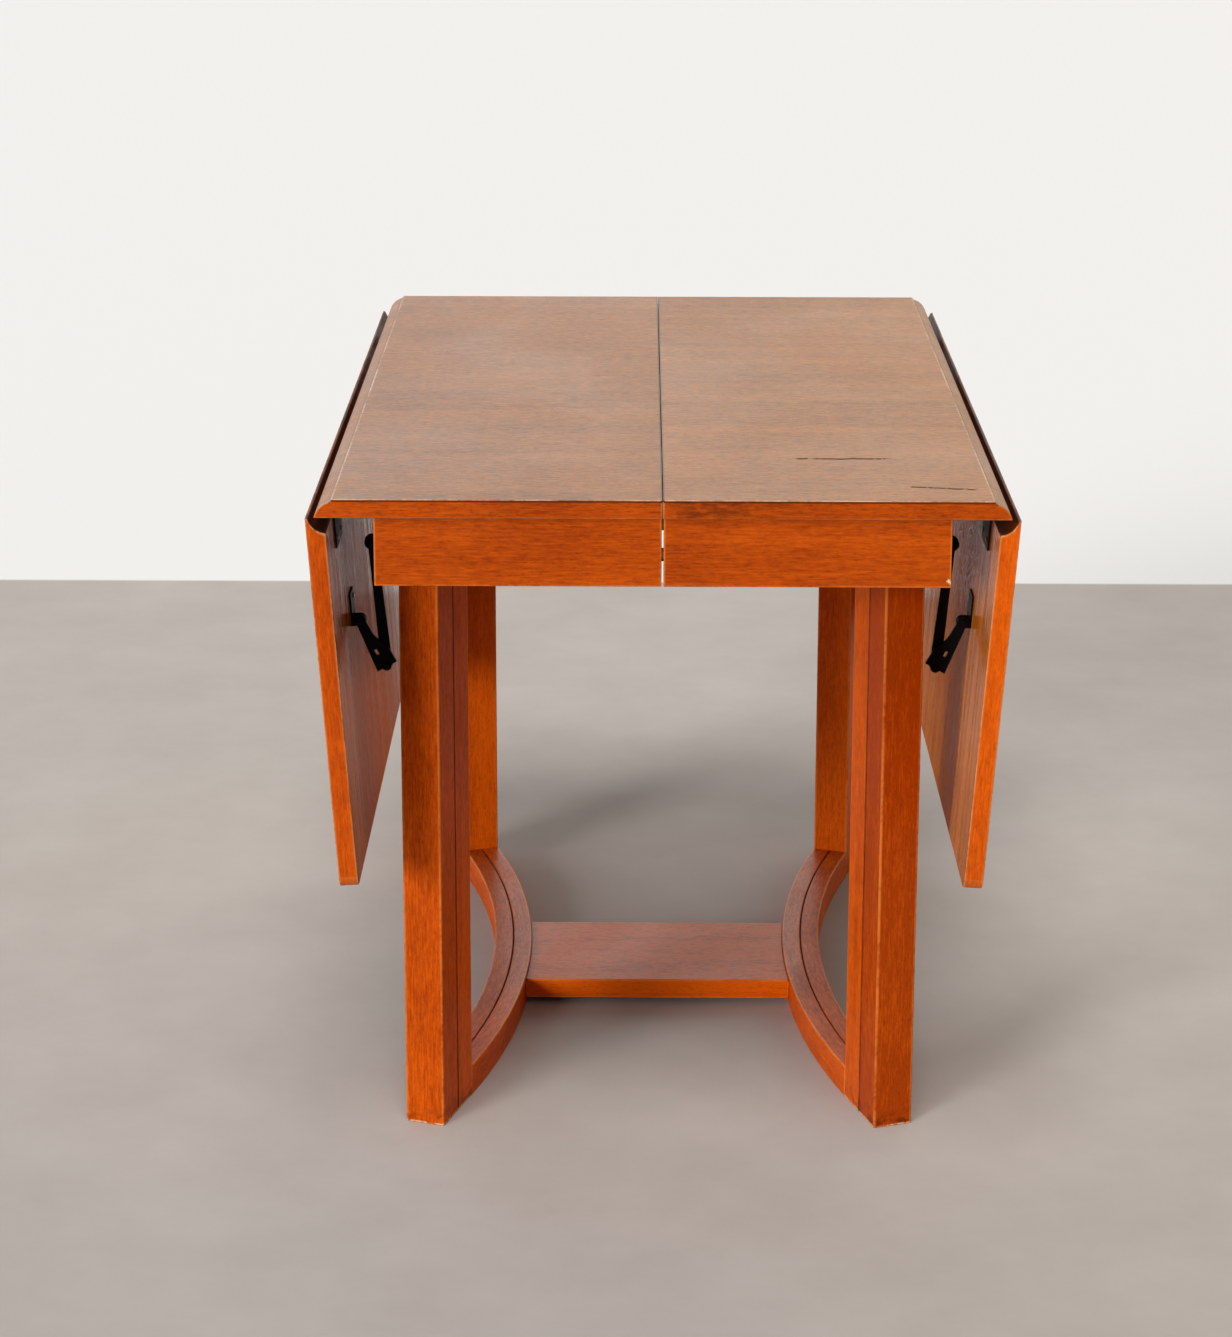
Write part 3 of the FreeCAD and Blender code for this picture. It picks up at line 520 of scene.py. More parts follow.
def stretcher_layer(outer, seam, figure):
    """One layer of the right stretcher: its section, in radius and height, carried along the arc."""
    toward = 1 if seam > outer else -1
    glued = seam - toward * glue_line
    corners = np.array([(outer, 0.0), (glued, 0.0), (glued, stretcher_height - seam_depth),
                        (seam - toward * seam_width / 2, stretcher_height), (outer, stretcher_height)])
    radii = np.array([stretcher_ease, seam_ease, seam_ease, seam_ease, stretcher_ease])
    wear = stretcher_wear
    if toward < 0:
        corners, radii, wear = corners[::-1], radii[::-1], wear[::-1]
    arc = leg_turn * stretcher_radius
    between = np.linspace(-arc, arc, stretcher_stations)[2:-2]
    rings, mask = swept_board(corners, radii, eased_stations(-arc, arc, butt_ease, between), wear)
    angle = rings[..., 2] / stretcher_radius
    x = arc_centre_x - rings[..., 0] * np.cos(angle)
    y = rings[..., 0] * np.sin(angle)
    place = np.stack([x, y, rings[..., 1]], axis=-1)
    return place, own_figure(in_order(rings, (2, 0, 1)), figure), mask


def shelf_board(figure):
    """The shelf: its section in X and Z carried along Y, as long as the stretchers' arcs leave it."""
    low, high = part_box("platform_shelf")
    between = np.linspace(low.y, high.y, shelf_stations)[1:-1]
    stations = eased_stations(low.y, high.y, shelf_ease, between)
    half = arc_centre_x - np.sqrt(stretcher_inner_radius ** 2 - stations[0] ** 2)
    corners = box_corners(-half, half, low.z, high.z)
    rings, mask = swept_board(corners, np.full(4, butt_ease), stations, shelf_wear)
    place = in_order(rings, (0, 2, 1))
    return place, own_figure(place, figure), mask


# Shader helpers

def shade(red, green, blue):
    """A colour given in 0 to 255 display values, as a linear colour."""
    display = np.array([red, green, blue]) / 255
    linear = np.where(display <= 0.04045, display / 12.92, ((display + 0.055) / 1.055) ** 2.4)
    return (*linear.tolist(), 1.0)


def put(tree, kind, inputs=None, **settings):
    """A new node with its settings, and inputs that are set to a value or joined to a socket."""
    node = tree.nodes.new(kind)
    for key, value in settings.items():
        setattr(node, key, value)
    for key, value in (inputs or {}).items():
        if isinstance(value, bpy.types.NodeSocket):
            tree.links.new(value, node.inputs[key])
        else:
            node.inputs[key].default_value = value
    return node


def give(tree, node, results):
    """Joins results to the named inputs of a node."""
    for label, socket in results.items():
        tree.links.new(socket, node.inputs[label])


def calc(tree, operation, first, second=0.0):
    """The result of a sum on two values."""
    return put(tree, "ShaderNodeMath", {0: first, 1: second}, operation=operation).outputs[0]


def span(tree, value, low, high, to_low=0.0, to_high=1.0):
    """A value taken from one range to another, and held at the ends."""
    inputs = {"Value": value, "From Min": low, "From Max": high, "To Min": to_low, "To Max": to_high}
    return put(tree, "ShaderNodeMapRange", inputs).outputs["Result"]


def swing(tree, noise, size):
    """Noise taken from its usual range to one from -size to size."""
    return span(tree, noise, *noise_range, -size, size)


def weigh(tree, first, second, share):
    """Two values added: the first times its share, and the second times the rest."""
    rest = calc(tree, "MULTIPLY", second, 1 - share)
    return calc(tree, "ADD", calc(tree, "MULTIPLY", first, share), rest)


def band(tree, value, edges):
    """1 where a value is between the middle two of four edges, falling to 0 at the outer two."""
    rise = span(tree, value, edges[0], edges[1])
    return calc(tree, "MULTIPLY", rise, span(tree, value, edges[3], edges[2]))


def mix(tree, factor, first, second):
    """Two colours mixed by a factor; the node's sockets for these are 0, 6 and 7, and 2 for the mix."""
    return put(tree, "ShaderNodeMix", {0: factor, 6: first, 7: second}, data_type="RGBA").outputs[2]


def stain_over(tree, colour, mask, share, stain):
    """A colour with a stain over it, which hides the given share of it where the mask is 1."""
    return mix(tree, calc(tree, "MULTIPLY", mask, share), colour, stain)


def stretched_noise(tree, vector, waves, detail=2.0, roughness=0.5, distortion=0.0):
    """Noise with so many waves to a metre along each of a vector's three axes."""
    scaled = put(tree, "ShaderNodeVectorMath", {0: vector, 1: waves}, operation="MULTIPLY").outputs[0]
    inputs = {"Vector": scaled, "Scale": 1.0, "Detail": detail, "Roughness": roughness,
              "Distortion": distortion}
    return put(tree, "ShaderNodeTexNoise", inputs).outputs["Fac"]


# Shared effects

COLOUR = "NodeSocketColor"
NUMBER = "NodeSocketFloat"
VECTOR = "NodeSocketVector"
pale_rub = shade(222, 128, 58)
top_rub = shade(240, 196, 164)
bare_wood = shade(232, 190, 148)
# Dark brown of dirt, cracks, stains and scuffs, and of painted shade in the grooves
dirt_and_shade_dark = shade(44, 17, 6)
pore_dark = shade(36, 16, 8)


def new_group(name, inputs, outputs):
    """An empty node group with the named sockets, and its input and output nodes."""
    tree = bpy.data.node_groups.new(name, "ShaderNodeTree")
    for label, kind, default in inputs:
        socket = tree.interface.new_socket(label, in_out="INPUT", socket_type=kind)
        if default is not None:
            socket.default_value = default
    for label, kind in outputs:
        tree.interface.new_socket(label, in_out="OUTPUT", socket_type=kind)
    return tree, tree.nodes.new("NodeGroupInput").outputs, tree.nodes.new("NodeGroupOutput")


def wood_grain_group():
    """Figure of the wood along the grain: bands, ribbon, fibres, mottle and short dark pores."""
    tree, given, end = new_group(
        "Wood grain",
        [("Grain", VECTOR, None), ("Light wood", COLOUR, shade(200, 110, 50)),
         ("Dark wood", COLOUR, shade(130, 60, 25)), ("Tone", NUMBER, 0.0), ("Figure", NUMBER, 1.0),
         ("Mottle", NUMBER, 0.3), ("Pores", NUMBER, 0.6)],
        [("Color", COLOUR), ("Height", NUMBER)])
    grain = given["Grain"]
    bands = stretched_noise(tree, grain, band_waves, detail=4.0, distortion=0.4)
    ribbon = stretched_noise(tree, grain, ribbon_waves)
    fibres = stretched_noise(tree, grain, fibre_waves, detail=3.0, roughness=0.65)
    specks = stretched_noise(tree, grain, speck_waves, detail=4.0, roughness=0.7)
    pores = span(tree, stretched_noise(tree, grain, pore_waves, roughness=0.6), *pore_rise)
    broad = calc(tree, "ADD", swing(tree, bands, band_swing), swing(tree, ribbon, ribbon_swing))
    tone = calc(tree, "ADD", middle_tone, calc(tree, "MULTIPLY", broad, given["Figure"]))
    tone = calc(tree, "ADD", tone, given["Tone"])
    tone = calc(tree, "ADD", tone, swing(tree, fibres, fibre_swing))
    tone = calc(tree, "ADD", tone, calc(tree, "MULTIPLY", swing(tree, specks, 1.0), given["Mottle"]))
    colour = mix(tree, span(tree, tone, 0.0, 1.0), given["Light wood"], given["Dark wood"])
    dark = mix(tree, pore_cover, colour, pore_dark)
    colour = mix(tree, calc(tree, "MULTIPLY", pores, given["Pores"]), colour, dark)
    height = calc(tree, "SUBTRACT", calc(tree, "MULTIPLY", fibres, fibre_height), pores)
    give(tree, end, {"Color": colour, "Height": height})
    return tree


def wear_and_groove_shade_group():
    """Where handling rubbed the finish off the arrises, and where soiling and painted shade darken the grooves.

    The edge value is broken up by noise: its positive part is the rubbed mask and its negative part the
    groove mask.
    """
    tree, given, end = new_group(
        "Edge wear, groove dirt and shade",
        [("Edge", NUMBER, 0.0), ("Grain", VECTOR, None), ("Amount", NUMBER, 0.5)],
        [("Mask", NUMBER), ("Groove dirt and shade", NUMBER)])
    runs = stretched_noise(tree, given["Grain"], rub_waves, detail=3.0)
    nicks = stretched_noise(tree, given["Grain"], nick_waves, detail=3.0, roughness=0.65)
    broken = weigh(tree, runs, nicks, rub_run_share)
    shown = calc(tree, "ADD", broken, calc(tree, "MULTIPLY", given["Amount"], rub_gain))
    mask = calc(tree, "MULTIPLY", span(tree, shown, *rub_rise), span(tree, given["Edge"], 0.0, 1.0))
    # The groove mask: dirt and painted shade
    groove_spread = span(tree, broken, *groove_dark_rise, least_groove_dark, 1.0)
    groove_darkening = calc(tree, "MULTIPLY", groove_spread, span(tree, given["Edge"], 0.0, -1.0))
    give(tree, end, {"Mask": mask, "Groove dirt and shade": groove_darkening})
    return tree


def lacquer_group():
    """Satin lacquer: roughness that drifts in soft blotches, with faint rubbed smears."""
    tree, given, end = new_group(
        "Lacquer",
        [("Place", VECTOR, None), ("Dullest", NUMBER, 0.5), ("Shiniest", NUMBER, 0.3)],
        [("Roughness", NUMBER)])
    blotches = stretched_noise(tree, given["Place"], gloss_waves, detail=3.0, distortion=0.6)
    smears = stretched_noise(tree, given["Place"], smear_waves, detail=4.0, roughness=0.6)
    polish = span(tree, weigh(tree, blotches, smears, blotch_share), *gloss_rise)
    reach = calc(tree, "SUBTRACT", given["Shiniest"], given["Dullest"])
    roughness = calc(tree, "ADD", given["Dullest"], calc(tree, "MULTIPLY", polish, reach))
    give(tree, end, {"Roughness": roughness})
    return tree


wood_grain = wood_grain_group()
wear_and_groove_shade = wear_and_groove_shade_group()
lacquer = lacquer_group()


# Masks of the marks of age

def crack_mask(tree, spot, start, end):
    """A thin crack along the grain, from one place to another on the top, wavy and broken in places."""
    split = put(tree, "ShaderNodeSeparateXYZ", {0: spot})
    share = span(tree, split.outputs["X"], start[0], end[0])
    middle = span(tree, split.outputs["X"], start[0], end[0], start[1], end[1])
    waves = stretched_noise(tree, spot, crack_waves)
    line = calc(tree, "ADD", middle, span(tree, waves, *crack_wave_range, -crack_wave, crack_wave))
    away = calc(tree, "ABSOLUTE", calc(tree, "SUBTRACT", split.outputs["Y"], line))
    broken = span(tree, stretched_noise(tree, spot, crack_break_waves), *crack_break_rise)
    shown = calc(tree, "MULTIPLY", band(tree, share, crack_ends), broken)
    return calc(tree, "MULTIPLY", span(tree, away, crack_half, 0.0), shown)


def chip_mask(tree, spot, centre):
    """A small chip, a ball round its centre with a ragged edge."""
    ragged = swing(tree, stretched_noise(tree, spot, chip_waves), chip_ragged)
    away = put(tree, "ShaderNodeVectorMath", {0: spot, 1: centre}, operation="DISTANCE")
    ball = calc(tree, "ADD", away.outputs["Value"], ragged)
    return span(tree, ball, chip_radius, chip_radius - chip_rim)


def stain_mask(tree, spot, reach):
    """A blotchy dark stain in a band of four places along X."""
    along = put(tree, "ShaderNodeSeparateXYZ", {0: spot}).outputs["X"]
    blotches = stretched_noise(tree, spot, stain_waves, detail=3.0, roughness=0.6)
    return calc(tree, "MULTIPLY", band(tree, along, reach), span(tree, blotches, *stain_rise))


def level_mask(tree, spot, levels):
    """A band of four heights."""
    return band(tree, put(tree, "ShaderNodeSeparateXYZ", {0: spot}).outputs["Z"], levels)


def foot_masks(tree, spot):
    """Knocks at the foot of a leg: dark scuffs a little above the floor, and bare chips at it."""
    coarse = stretched_noise(tree, spot, scuff_waves, detail=3.0, roughness=0.6)
    fine = stretched_noise(tree, spot, foot_chip_waves)
    scuff_band = level_mask(tree, spot, scuff_levels)
    chip_band = level_mask(tree, spot, foot_chip_levels)
    scuffs = calc(tree, "MULTIPLY", scuff_band, span(tree, coarse, *scuff_rise))
    return scuffs, calc(tree, "MULTIPLY", chip_band, span(tree, fine, *foot_chip_rise))


# Materials

def new_material(name):
    """An empty node material, with its tree and its shader."""
    material = bpy.data.materials.new(name)
    material.use_nodes = True
    tree = material.node_tree
    tree.nodes.clear()
    shader = put(tree, "ShaderNodeBsdfPrincipled")
    put(tree, "ShaderNodeOutputMaterial", {"Surface": shader.outputs[0]})
    return material, tree, shader


def lacquered_wood(name, light, dark, figure=1.0, mottle=0.3, pores=0.6, wear=0.5, dull=0.42, shiny=0.3,
                   gloss=0.5, relief=0.12, waves=0.0, rub=pale_rub, cracks=(), chips=(), dark_lines=(),
                   stains=(), feet=False):
    """Lacquered board wood that follows the board's own grain, rubbed pale along the arrises."""
    material, tree, shader = new_material(name)
    grain = put(tree, "ShaderNodeAttribute", attribute_name="grain").outputs["Vector"]
    edge = put(tree, "ShaderNodeAttribute", attribute_name="edge").outputs["Fac"]
    tone = put(tree, "ShaderNodeAttribute", attribute_name="tone").outputs["Fac"]
    spot = put(tree, "ShaderNodeTexCoord").outputs["Object"]
    wood = put(tree, "ShaderNodeGroup",
               {"Grain": grain, "Light wood": light, "Dark wood": dark, "Tone": tone, "Figure": figure,
                "Mottle": mottle, "Pores": pores}, node_tree=wood_grain)
    rubbed = put(tree, "ShaderNodeGroup", {"Edge": edge, "Grain": grain, "Amount": wear},
                 node_tree=wear_and_groove_shade)
    finish = put(tree, "ShaderNodeGroup", {"Place": grain, "Dullest": dull, "Shiniest": shiny},
                 node_tree=lacquer)
    colour = stain_over(tree, wood.outputs["Color"], rubbed.outputs["Mask"], rub_cover, rub)
    # Dirt and painted shade in the grooves, seams and joints
    colour = stain_over(tree, colour, rubbed.outputs["Groove dirt and shade"], groove_dark_cover, dirt_and_shade_dark)
    rough = finish.outputs["Roughness"]
    sunk = [crack_mask(tree, spot, start, end) for start, end in cracks]
    for mask in sunk:
        colour = mix(tree, mask, colour, dirt_and_shade_dark)
        rough = calc(tree, "MAXIMUM", rough, mask)
    for centre in chips:
        colour = mix(tree, chip_mask(tree, spot, centre), colour, bare_wood)
    # A dark line in a band of height under the top's arrises
    for levels in dark_lines:
        colour = stain_over(tree, colour, level_mask(tree, spot, levels), arris_line_cover, dirt_and_shade_dark)
    for reach in stains:
        colour = stain_over(tree, colour, stain_mask(tree, spot, reach), stain_cover, dirt_and_shade_dark)
    if feet:
        scuffs, knocks = foot_masks(tree, spot)
        colour = stain_over(tree, colour, scuffs, scuff_cover, dirt_and_shade_dark)
        colour = stain_over(tree, colour, knocks, foot_chip_cover, bare_wood)
    height = wood.outputs["Height"]
    if waves:
        uneven = stretched_noise(tree, grain, uneven_waves, detail=3.0, distortion=0.5)
        height = calc(tree, "ADD", height, calc(tree, "MULTIPLY", uneven, waves))
    bump = put(tree, "ShaderNodeBump", {"Height": height, "Strength": relief, "Distance": grain_depth})
    for mask in sunk:
        bump = put(tree, "ShaderNodeBump",
                   {"Height": mask, "Strength": crack_relief, "Distance": crack_depth,
                    "Normal": bump.outputs[0]}, invert=True)
    give(tree, shader, {"Base Color": colour, "Roughness": rough, "Normal": bump.outputs[0]})
    shader.inputs["Specular IOR Level"].default_value = gloss
    return material


def plain_wood(name, light, dark, turn=(0.0, 0.0, 0.0)):
    """Bare inner wood on a solid's own coordinates, turned so that the grain runs along it."""
    material, tree, shader = new_material(name)
    spot = put(tree, "ShaderNodeTexCoord").outputs["Object"]
    turned = put(tree, "ShaderNodeMapping", {"Vector": spot, "Rotation": turn}).outputs[0]
    wood = put(tree, "ShaderNodeGroup",
               {"Grain": turned, "Light wood": light, "Dark wood": dark, "Mottle": bare_mottle,
                "Pores": bare_pores}, node_tree=wood_grain)
    height = wood.outputs["Height"]
    rough = span(tree, height, *bare_heights, *bare_roughness)
    bump = put(tree, "ShaderNodeBump",
               {"Height": height, "Strength": bare_relief, "Distance": bare_grain_depth})
    give(tree, shader, {"Base Color": wood.outputs["Color"], "Roughness": rough,
                        "Normal": bump.outputs[0]})
    return material


def worn_steel(name, paint, bare, cover, roughness, metal, gloss):
    """Steel with a worn coat, which thins in patches and specks and shows the metal there."""
    material, tree, shader = new_material(name)
    spot = put(tree, "ShaderNodeTexCoord").outputs["Object"]
    patches = stretched_noise(tree, spot, coat_waves, detail=4.0, roughness=0.6)
    specks = stretched_noise(tree, spot, coat_speck_waves)
    worn = weigh(tree, patches, specks, coat_patch_share)
    mask = span(tree, worn, cover, cover + coat_edge)
    height = calc(tree, "SUBTRACT", calc(tree, "MULTIPLY", specks, coat_speck_height), mask)
    bump = put(tree, "ShaderNodeBump",
               {"Height": height, "Strength": coat_relief, "Distance": coat_pit_depth})
    give(tree, shader, {
        "Base Color": mix(tree, mask, paint, bare),
        "Metallic": span(tree, mask, 0.0, 1.0, metal, 1.0),
        "Roughness": span(tree, worn, *noise_range, roughness, roughness - coat_polish),
        "Normal": bump.outputs[0],
    })
    shader.inputs["Specular IOR Level"].default_value = gloss
    return material


# Light and dark shades of the woods
# Top faces: darker and greyer than the sides, a faded top with painted shade against the overhead light
darkened_face_shades = shade(180, 108, 40), shade(104, 58, 18)
side_shades = shade(218, 92, 8), shade(164, 60, 4)
# A paler copy of the side wood for the right leaf's edges: painted light
lit_side_shades = shade(226, 97, 9), shade(171, 64, 5)
# Aprons and the top's front and rear edges: darker than the sides, painted shade against the strong light
darkened_apron_shades = shade(196, 82, 8), shade(146, 52, 4)
shelf_shades = shade(204, 90, 18), shade(146, 58, 10)
under_shades = shade(190, 102, 26), shade(118, 58, 12)
# A paler copy for the right leaf's underside: painted light from the left
lit_under_shades = shade(220, 124, 35), shade(140, 72, 17)
# The cove: a dark stain with painted shade
stained_shaded_cove_shades = shade(84, 36, 12), shade(48, 20, 8)
joint_shades = shade(118, 60, 24), shade(78, 38, 14)

# Finishes
top_looks = {"figure": 0.55, "mottle": 0.4, "pores": 0.9, "wear": 0.25, "dull": 0.42, "shiny": 0.36,
             "relief": 0.24, "rub": top_rub}
top_edge_looks = {"wear": 0.6, "gloss": 0.08, "dark_lines": [arris_dark_line_levels]}
joint_looks = {"wear": 0.0, "dull": 0.95, "shiny": 0.85, "gloss": 0.0}
under_looks = {"wear": 0.2, "dull": 0.16, "shiny": 0.1, "gloss": 0.02, "waves": 16.0}
leaf_edge_looks = {"pores": 0.45, "wear": 0.5, "gloss": 0.08}
apron_looks = {"pores": 0.45, "wear": 0.4, "gloss": 0.08}
side_looks = {"pores": 0.45, "wear": 0.4, "gloss": 0.045}
# The top's faces, darker for painted shade
top_finish = lacquered_wood("top_lacquer", *darkened_face_shades, **top_looks)
cracked_top_finish = lacquered_wood("cracked_top_lacquer", *darkened_face_shades, cracks=top_cracks, **top_looks)
# Front and rear edges of the top, darker for painted shade
top_edge_finish = lacquered_wood("top_edge_lacquer", *darkened_apron_shades, **top_edge_looks)
stained_top_edge_finish = lacquered_wood("stained_top_edge_lacquer", *darkened_apron_shades,
                                         stains=[edge_stain_reach], **top_edge_looks)
joint_finish = lacquered_wood("joint_face_wood", *joint_shades, **joint_looks)
under_finishes = {
    "left": lacquered_wood("left_leaf_underside_lacquer", *under_shades, **under_looks),
    # The right leaf's underside is paler: painted light
    "right": lacquered_wood("right_leaf_underside_lit_lacquer", *lit_under_shades, **under_looks),
}
leaf_edge_finishes = {
    "left": lacquered_wood("left_leaf_edge_lacquer", *side_shades, **leaf_edge_looks),
    # The right leaf's edges are paler: painted light
    "right": lacquered_wood("right_leaf_edge_lit_lacquer", *lit_side_shades, **leaf_edge_looks),
}
# The cove, dark with stain and painted shade
cove_finish = lacquered_wood("cove_lacquer", *stained_shaded_cove_shades, wear=0.2, gloss=0.05)
# Aprons, darker for painted shade
apron_finish = lacquered_wood("apron_lacquer", *darkened_apron_shades, **apron_looks)
chipped_apron_finish = lacquered_wood("chipped_apron_lacquer", *darkened_apron_shades, chips=[apron_chip],
                                      **apron_looks)
leg_finish = lacquered_wood("leg_lacquer", *side_shades, feet=True, **side_looks)
stretcher_finish = lacquered_wood("stretcher_lacquer", *side_shades, **side_looks)
shelf_finish = lacquered_wood("shelf_lacquer", *shelf_shades, mottle=0.5, wear=0.4, gloss=0.28)
inner_wood = plain_wood("inner_wood", shade(188, 134, 86), shade(140, 92, 54))
inner_wood_along_y = plain_wood("inner_wood_along_y", shade(186, 132, 84), shade(138, 90, 54),
                                turn=(0.0, 0.0, math.pi / 2))
black_steel = worn_steel("black_paint", shade(7, 6, 6), shade(46, 40, 36),
                         cover=0.62, roughness=0.6, metal=0.0, gloss=0.08)
hinge_metal = worn_steel("dull_hinge_steel", shade(34, 27, 22), shade(70, 58, 46),
                         cover=0.56, roughness=0.6, metal=0.3, gloss=0.2)
screw_metal = worn_steel("dull_screw_steel", shade(150, 142, 126), shade(182, 176, 164),
                         cover=0.5, roughness=0.45, metal=1.0, gloss=0.5)

# Tones and figures of the boards in a piece, and the ways that their finished faces point
leg_figures = (0.4, 0.7)
layer_figures = (0.0, 0.2)
leg_tones = (-0.15, 0.08)
# The front board of the front right leg is darker all over: painted shade
shaded_leg_tones = (-0.15, 0.45)
stretcher_tones = (0.06, -0.06)
# The shelf is a lighter tone: painted light where the table shades it
lit_shelf_tone = -0.3
toward_front = (0, -1, 0)
toward_rear = (0, 1, 0)
upward_face = (0, 0, 1)
diagonal = math.sqrt(0.5)
leaf_rim = [toward_front, (0, -diagonal, -diagonal), (0, 0, -1), (0, diagonal, -diagonal), toward_rear]
cove_slopes = np.radians([15.0, 40.0, 65.0, 90.0])

# Boards that take the place of solids
figure = 0
for side in ("right", "left"):
    mirrored = side == "left"
    out = -1 if mirrored else 1
    inward = [(-out, 0, 0)]
    leaf_cove = [(-out * math.cos(slope), 0, math.sin(slope)) for slope in cove_slopes]
    front_finish = top_edge_finish if mirrored else stained_top_edge_finish
    figure += 1
    add_piece(side + "_top_board", [top_board(figure)], side + "_half", side + "_top_half",
              top_finish if mirrored else cracked_top_finish, mirrored,
              [(front_finish, [toward_front]), (top_edge_finish, [toward_rear]), (joint_finish, inward)])
    figure += 1
    add_piece(side + "_leaf_board", [leaf_board(figure)], side + "_leaf", side + "_drop_leaf",
              top_finish, mirrored,
              [(leaf_edge_finishes[side], leaf_rim), (cove_finish, leaf_cove),
               (under_finishes[side], inward)])
    for end in ("front", "rear"):
        rear = end == "rear"
        chipped_and_shaded = not rear and not mirrored
        figure += 1
        low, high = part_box("right_apron_" + end)
        board = box_board(low, high, apron_ease, (1, 2, 0), lower_arrises, figure)
        add_piece(side + "_apron_board_" + end, [board], side + "_half", side + "_apron_" + end,
                  chipped_apron_finish if chipped_and_shaded else apron_finish, mirrored,
                  [(joint_finish, inward)])
        boards = [leg_board(outer, leg_depth / 2, rear, figure + own)
                  for outer, own in zip((0.0, leg_depth), leg_figures)]
        # The front right leg's darker tone is painted shade
        add_piece("leg_boards_" + end + "_" + side, boards, "base", "leg_" + end + "_" + side,
                  leg_finish, mirrored, tones=shaded_leg_tones if chipped_and_shaded else leg_tones)
    figure += 1
    low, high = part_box("right_apron_side")
    board = box_board(low, high, apron_ease, (0, 2, 1), lower_arrises, figure)
    add_piece(side + "_apron_board_side", [board], side + "_half", side + "_apron_side",
              apron_finish, mirrored)
    layers = [stretcher_layer(outer, stretcher_radius, figure + own)
              for outer, own in zip((stretcher_outer_radius, stretcher_inner_radius), layer_figures)]
    add_piece("stretcher_layers_" + side, layers, "base", "stretcher_" + side,
              stretcher_finish, mirrored, [(shelf_finish, [upward_face])], stretcher_tones)
add_piece("shelf_board", [shelf_board(figure + 1)], "base", "platform_shelf",
          stretcher_finish, face_finishes=[(shelf_finish, [upward_face])], tones=(lit_shelf_tone,))

# Solids that stay, with better finishes
slot_finish = {
    "frame_wood": inner_wood,
    "dowel_wood": inner_wood,
    "stay_steel": black_steel,
    "hinge_steel": hinge_metal,
    "screw_steel": screw_metal,
}
for part in frame["record"]["subparts"]:
    solid = frame["nodes"][part["node"]]
    finish = slot_finish.get(part["material_slot"])
    if finish is None:
        continue
    if "end_rail" in part["node"]:
        finish = inner_wood_along_y
    for slot in solid.material_slots:
        slot.material = finish

# Floor, paler past a line behind the table
floor_half = 14.0
pale_floor_start = 1.73
floor_line_blur = 0.01
floor_roughness = 0.85
floor_dark = shade(172, 164, 160)
floor_light = shade(181, 174, 170)
floor_pale = shade(230, 229, 231)
floor_corners = [(-floor_half, -floor_half, 0.0), (floor_half, -floor_half, 0.0),
                 (floor_half, floor_half, 0.0), (-floor_half, floor_half, 0.0)]
floor_mesh = bpy.data.meshes.new("floor")
floor_mesh.from_pydata(floor_corners, [], [(0, 1, 2, 3)])
floor = bpy.data.objects.new("floor", floor_mesh)
bpy.context.scene.collection.objects.link(floor)
floor_paint, tree, shader = new_material("pale_floor")
spot = put(tree, "ShaderNodeTexCoord").outputs["Object"]
clouds = stretched_noise(tree, spot, floor_waves, detail=6.0, roughness=0.65)
grey = mix(tree, span(tree, clouds, *noise_range), floor_dark, floor_light)
rearward = put(tree, "ShaderNodeSeparateXYZ", {0: spot}).outputs["Y"]
past_line = span(tree, rearward, pale_floor_start, pale_floor_start + floor_line_blur)
give(tree, shader, {"Base Color": mix(tree, past_line, grey, floor_pale)})
shader.inputs["Roughness"].default_value = floor_roughness
floor_mesh.materials.append(floor_paint)

# Studio glow: dim in front and bright at the rear, brighter a little way up, and less overhead. The
# ranges are of the parts of a unit vector towards the glow: to the right, to the rear and up.
front_glow = 0.07
rear_glow = 0.82
upper_rear_glow = 1.5
zenith_share = 0.3
cool_rear = (0.86, 0.97, 1.0, 1.0)
warm_rear = (1.0, 0.92, 0.78, 1.0)
tint_range = (-0.1, 0.1)
rear_range = (-0.1, 0.6)
upper_range = (0.02, 0.22)
zenith_range = (0.45, 0.9)
world = bpy.data.worlds.new("studio")
bpy.context.scene.world = world
world.use_nodes = True
studio = world.node_tree
studio.nodes.clear()
toward = put(studio, "ShaderNodeTexCoord").outputs["Generated"]
split = put(studio, "ShaderNodeSeparateXYZ", {0: toward})
upward = split.outputs["Z"]
rise = span(studio, upward, *upper_range, rear_glow, upper_rear_glow)
rise = calc(studio, "MULTIPLY", rise, span(studio, upward, *zenith_range, 1.0, zenith_share))
rear_share = span(studio, split.outputs["Y"], *rear_range)
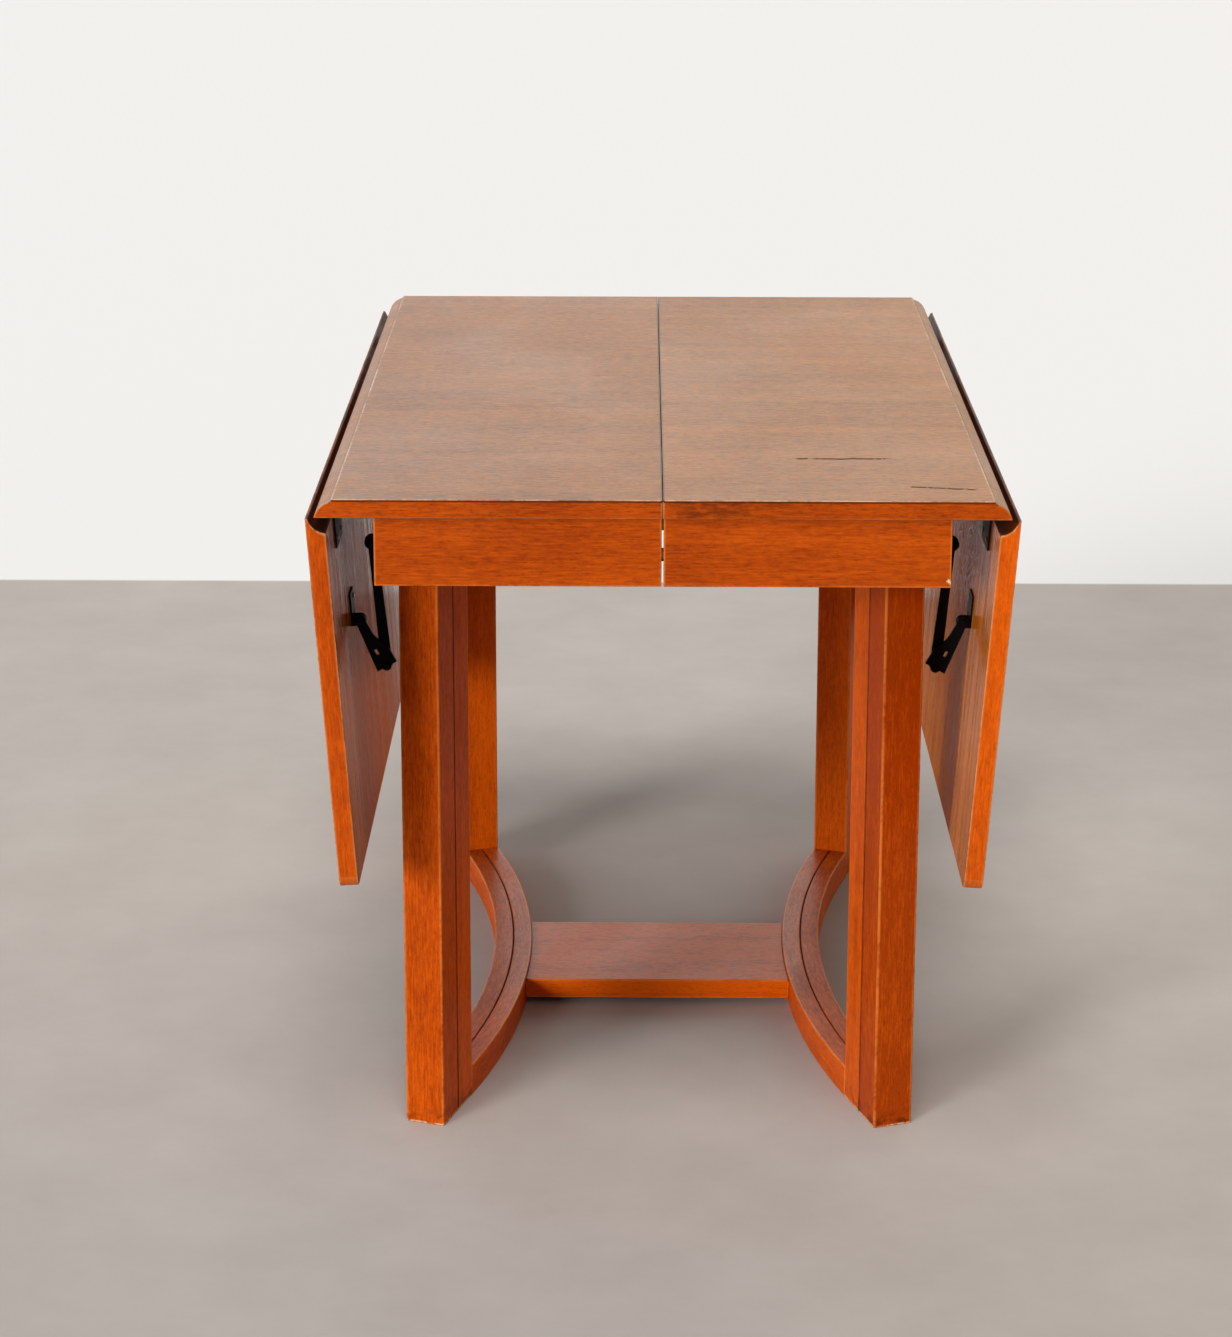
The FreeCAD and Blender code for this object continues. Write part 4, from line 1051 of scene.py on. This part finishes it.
glow = calc(studio, "MAXIMUM", front_glow, calc(studio, "MULTIPLY", rear_share, rise))
tint = mix(studio, span(studio, split.outputs["X"], *tint_range), cool_rear, warm_rear)
sky = put(studio, "ShaderNodeBackground", {"Color": tint, "Strength": glow})
put(studio, "ShaderNodeOutputWorld", {"Surface": sky.outputs[0]})


# Lights

def soft_sun(name, bearing, elevation, width, strength, colour):
    """An even light from far off; bearing 0 comes from the front, and it grows towards the right."""
    data = bpy.data.lights.new(name, "SUN")
    data.angle = math.radians(width)
    data.energy = strength
    data.color = colour
    lamp = bpy.data.objects.new(name, data)
    turn, rise = math.radians(bearing), math.radians(elevation)
    source = Vector((math.sin(turn) * math.cos(rise), -math.cos(turn) * math.cos(rise), math.sin(rise)))
    lamp.rotation_euler = source.to_track_quat("Z", "Y").to_euler()
    bpy.context.scene.collection.objects.link(lamp)


soft_sun("left_softbox", bearing=-39.0, elevation=14.0, width=20.0, strength=2.4,
         colour=(1.0, 0.98, 0.96))
soft_sun("right_softbox", bearing=50.0, elevation=12.0, width=50.0, strength=0.2,
         colour=(1.0, 0.97, 0.94))
soft_sun("overhead_softbox", bearing=-5.0, elevation=68.0, width=30.0, strength=1.9,
         colour=(1.0, 0.97, 0.93))

# Camera
camera_data = bpy.data.cameras.new("camera")
camera_data.sensor_width = sensor_long_side
camera_data.lens = focal_pixels / photo_height * sensor_long_side
camera_data.shift_y = (axis_pixel_down - photo_height / 2) / photo_height
camera = bpy.data.objects.new("camera", camera_data)
heading = Matrix.Rotation(camera_yaw, 3, "Z")
level_right = heading @ Vector((1, 0, 0))
forward = heading @ Vector((0, math.cos(camera_pitch), -math.sin(camera_pitch)))
level_down = forward.cross(level_right)
right = math.cos(camera_roll) * level_right + math.sin(camera_roll) * level_down
down = forward.cross(right)
turned = Matrix((right, -down, -forward)).transposed()
camera.matrix_world = Matrix.Translation(camera_place) @ turned.to_4x4()
bpy.context.scene.collection.objects.link(camera)
bpy.context.scene.camera = camera
bpy.context.scene.view_settings.view_transform = "Standard"
